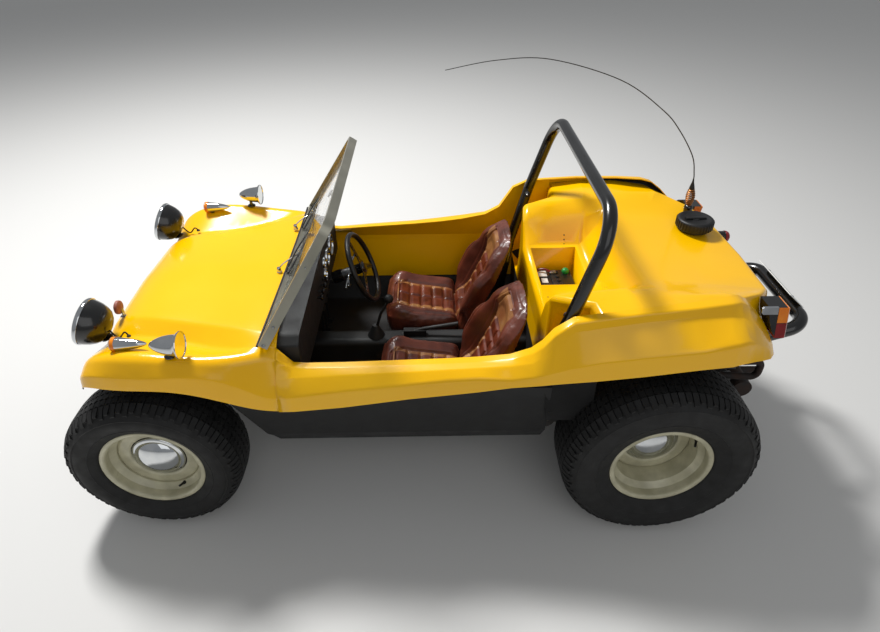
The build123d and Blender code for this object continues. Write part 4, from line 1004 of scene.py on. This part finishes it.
# white paint on sheet aluminium: clean, half gloss
plate_paint = surface("blank_white_plate", ("#dedfdd", "#e8e8e5"), 0.1, 0.35, 0.01, 0.0)
dress(plate_paint, "number_plate")
lenses = bmesh.new()


def prism(form, corners, stations, share):
    # a bar along x through like outlines, each of them scaled about its middle
    middle = sum((Vector(c) for c in corners), Vector()) / 4
    rings = [[form.verts.new(middle + (Vector(c) - middle) * grow + Vector((-out, 0, 0))) for c in corners]
             for grow, out in stations]
    faces = [form.faces.new(rings[0]), form.faces.new(rings[-1])]
    for low, high in zip(rings, rings[1:]):
        faces += [form.faces.new((low[i], low[(i + 1) % 4], high[(i + 1) % 4], high[i])) for i in range(4)]
    outwards(form, faces, share)


lamp_x = -1302
lens_run, strip_run = ((1.03, -34), (1.03, 5), (0.9, 10)), ((0.6, -99), (1, -92), (1, -36))
for side in (1, -1):
    for outline, run, share in ((((411, 890), (493, 890), (475, 946), (396, 946)), lens_run, 0),
                                (((425, 831), (511, 831), (494, 886), (412, 886)), lens_run, 1),
                                (((480, 922), (484, 922), (476, 949), (468, 950)), strip_run, 2)):
        prism(lenses, [(lamp_x, side * y, z) for y, z in outline], run, share)
turned(lenses, [(0, 22), (14, 19), (24, 12), (29, 2), (30, -6), (0, -6)], (-1391, -262, 850),
       rearwards, 32, 1)
plate_lean = math.radians(50)
plate_out = Vector((-math.cos(plate_lean), 0, math.sin(plate_lean)))
plate_mid = Vector((-1576.9, 0, 746.4))
for side in (1, -1):
    turned(lenses, [(0, 0), (6, 0), (6, 1), (4, 2.4), (0, 2.8)], plate_mid + Vector((0, side * 110, 0)),
           plate_out, 16, 3)
made("tail_lenses", lenses, (amber, red_acrylic, chrome, zinc))

# The silencer and its pipes are sheet steel under heat paint gone brown. The engine is an air-cooled
# flat four: a cast case, finned cylinders under black tinware, a fan housing with its dynamo, a belt.
# heat paint burnt off and rusted: brown-black, rough
rusty_heat_paint = surface("rusty_heat_paint", ("#1c1614", "#3a2a22"), 0.04, 0.7, 0.003, 0.0005,
                           Metallic=0.2)
dress(rusty_heat_paint, "exhaust")
# black enamel on thin sheet: half gloss, slightly wavy
tinware = surface("black_engine_tinware", ("#111111", "#1d1c1b"), 0.1, 0.35, 0.01, 0.0002)
power = bmesh.new()
crank_z, fan_z, shroud_z = 410, 548, 611
block(power, (300, 230, 190), (-1185, 0, crank_z), 0, 16)
block(power, (300, 120, 60), (-1185, 0, 335), 0, 10)
fins = [(radius, 112 + 12 * k + out) for k in range(14)
        for radius, out in ((46, 0), (60, 2), (60, 5), (46, 7))]
for side in (1, -1):
    for x in (-1115, -1250):
        turned(power, [(0, 108)] + fins + [(46, 284), (0, 284)], (x, 0, crank_z), (0, side, 0), 36)
    block(power, (250, 28, 92), (-1183, side * 292, crank_z), 1, 8)
    block(power, (280, 150, 14), (-1183, side * 215, 478), 1, 4)
    block(power, (300, 14, 46), (-1190, side * 250, shroud_z), 1, 3)
block(power, (104, 560, 150), (-1086, 0, fan_z), 1, 34)
turned(power, [(0, -56), (96, -56), (100, -50), (100, 50), (92, 58), (58, 58), (56, 44), (0, 44)],
       (-1090, 0, fan_z), rearwards, 48, 1)
turned(power, [(0, 40), (46, 40), (47, 60), (47, 190), (40, 200), (0, 200)], (-1090, 0, 592),
       rearwards, 36)
for z, size in ((592, 52), (430, 76)):
    turned(power, [(0, 0), (size, 0), (size, 4), (size - 8, 9), (size, 14), (size, 18), (14, 18), (14, 24),
                   (0, 24)], (-1318, 0, z), rearwards, 40, 2)
for side in (1, -1):
    tube(power, [(-1327, side * 47, 594), (-1327, side * 70, 434)], 5, 8, 3, 1)
block(power, (14, 560, 46), (-1341, 0, shroud_z), 1, 3)
made("flat_four_engine", power, (cast_alloy, tinware, zinc, rubber_seal), ("engine",))

# Small drillings and plugs in the deck show as dark dots, drawn as flush black discs; in the open
# drillings that black is painted shade from inside the hole. Each is found on the skin along the sight
# line of the photograph's camera, and lies flush on it.
hole_shade_dots = bmesh.new()
for px, py, size in ((564, 235, 3.4), (564, 239.5, 3.4), (564, 244, 3.4), (548, 297, 3)):
    sight = (camera_right * (px - photo_width / 2) + camera_up * (photo_height / 2 - py)
             - camera_back * focal_pixels)
    hit, spot, way, _ = body_skin.ray_cast(camera_place, sight.normalized())
    if hit:
        turned(hole_shade_dots, [(0, -1), (size, -1), (size, 0.4), (size - 1, 0.7), (0, 0.7)], level @ spot / mm,
               level.to_3x3() @ way, 14)
made("deck_drillings", hole_shade_dots, (rubber_seal,))
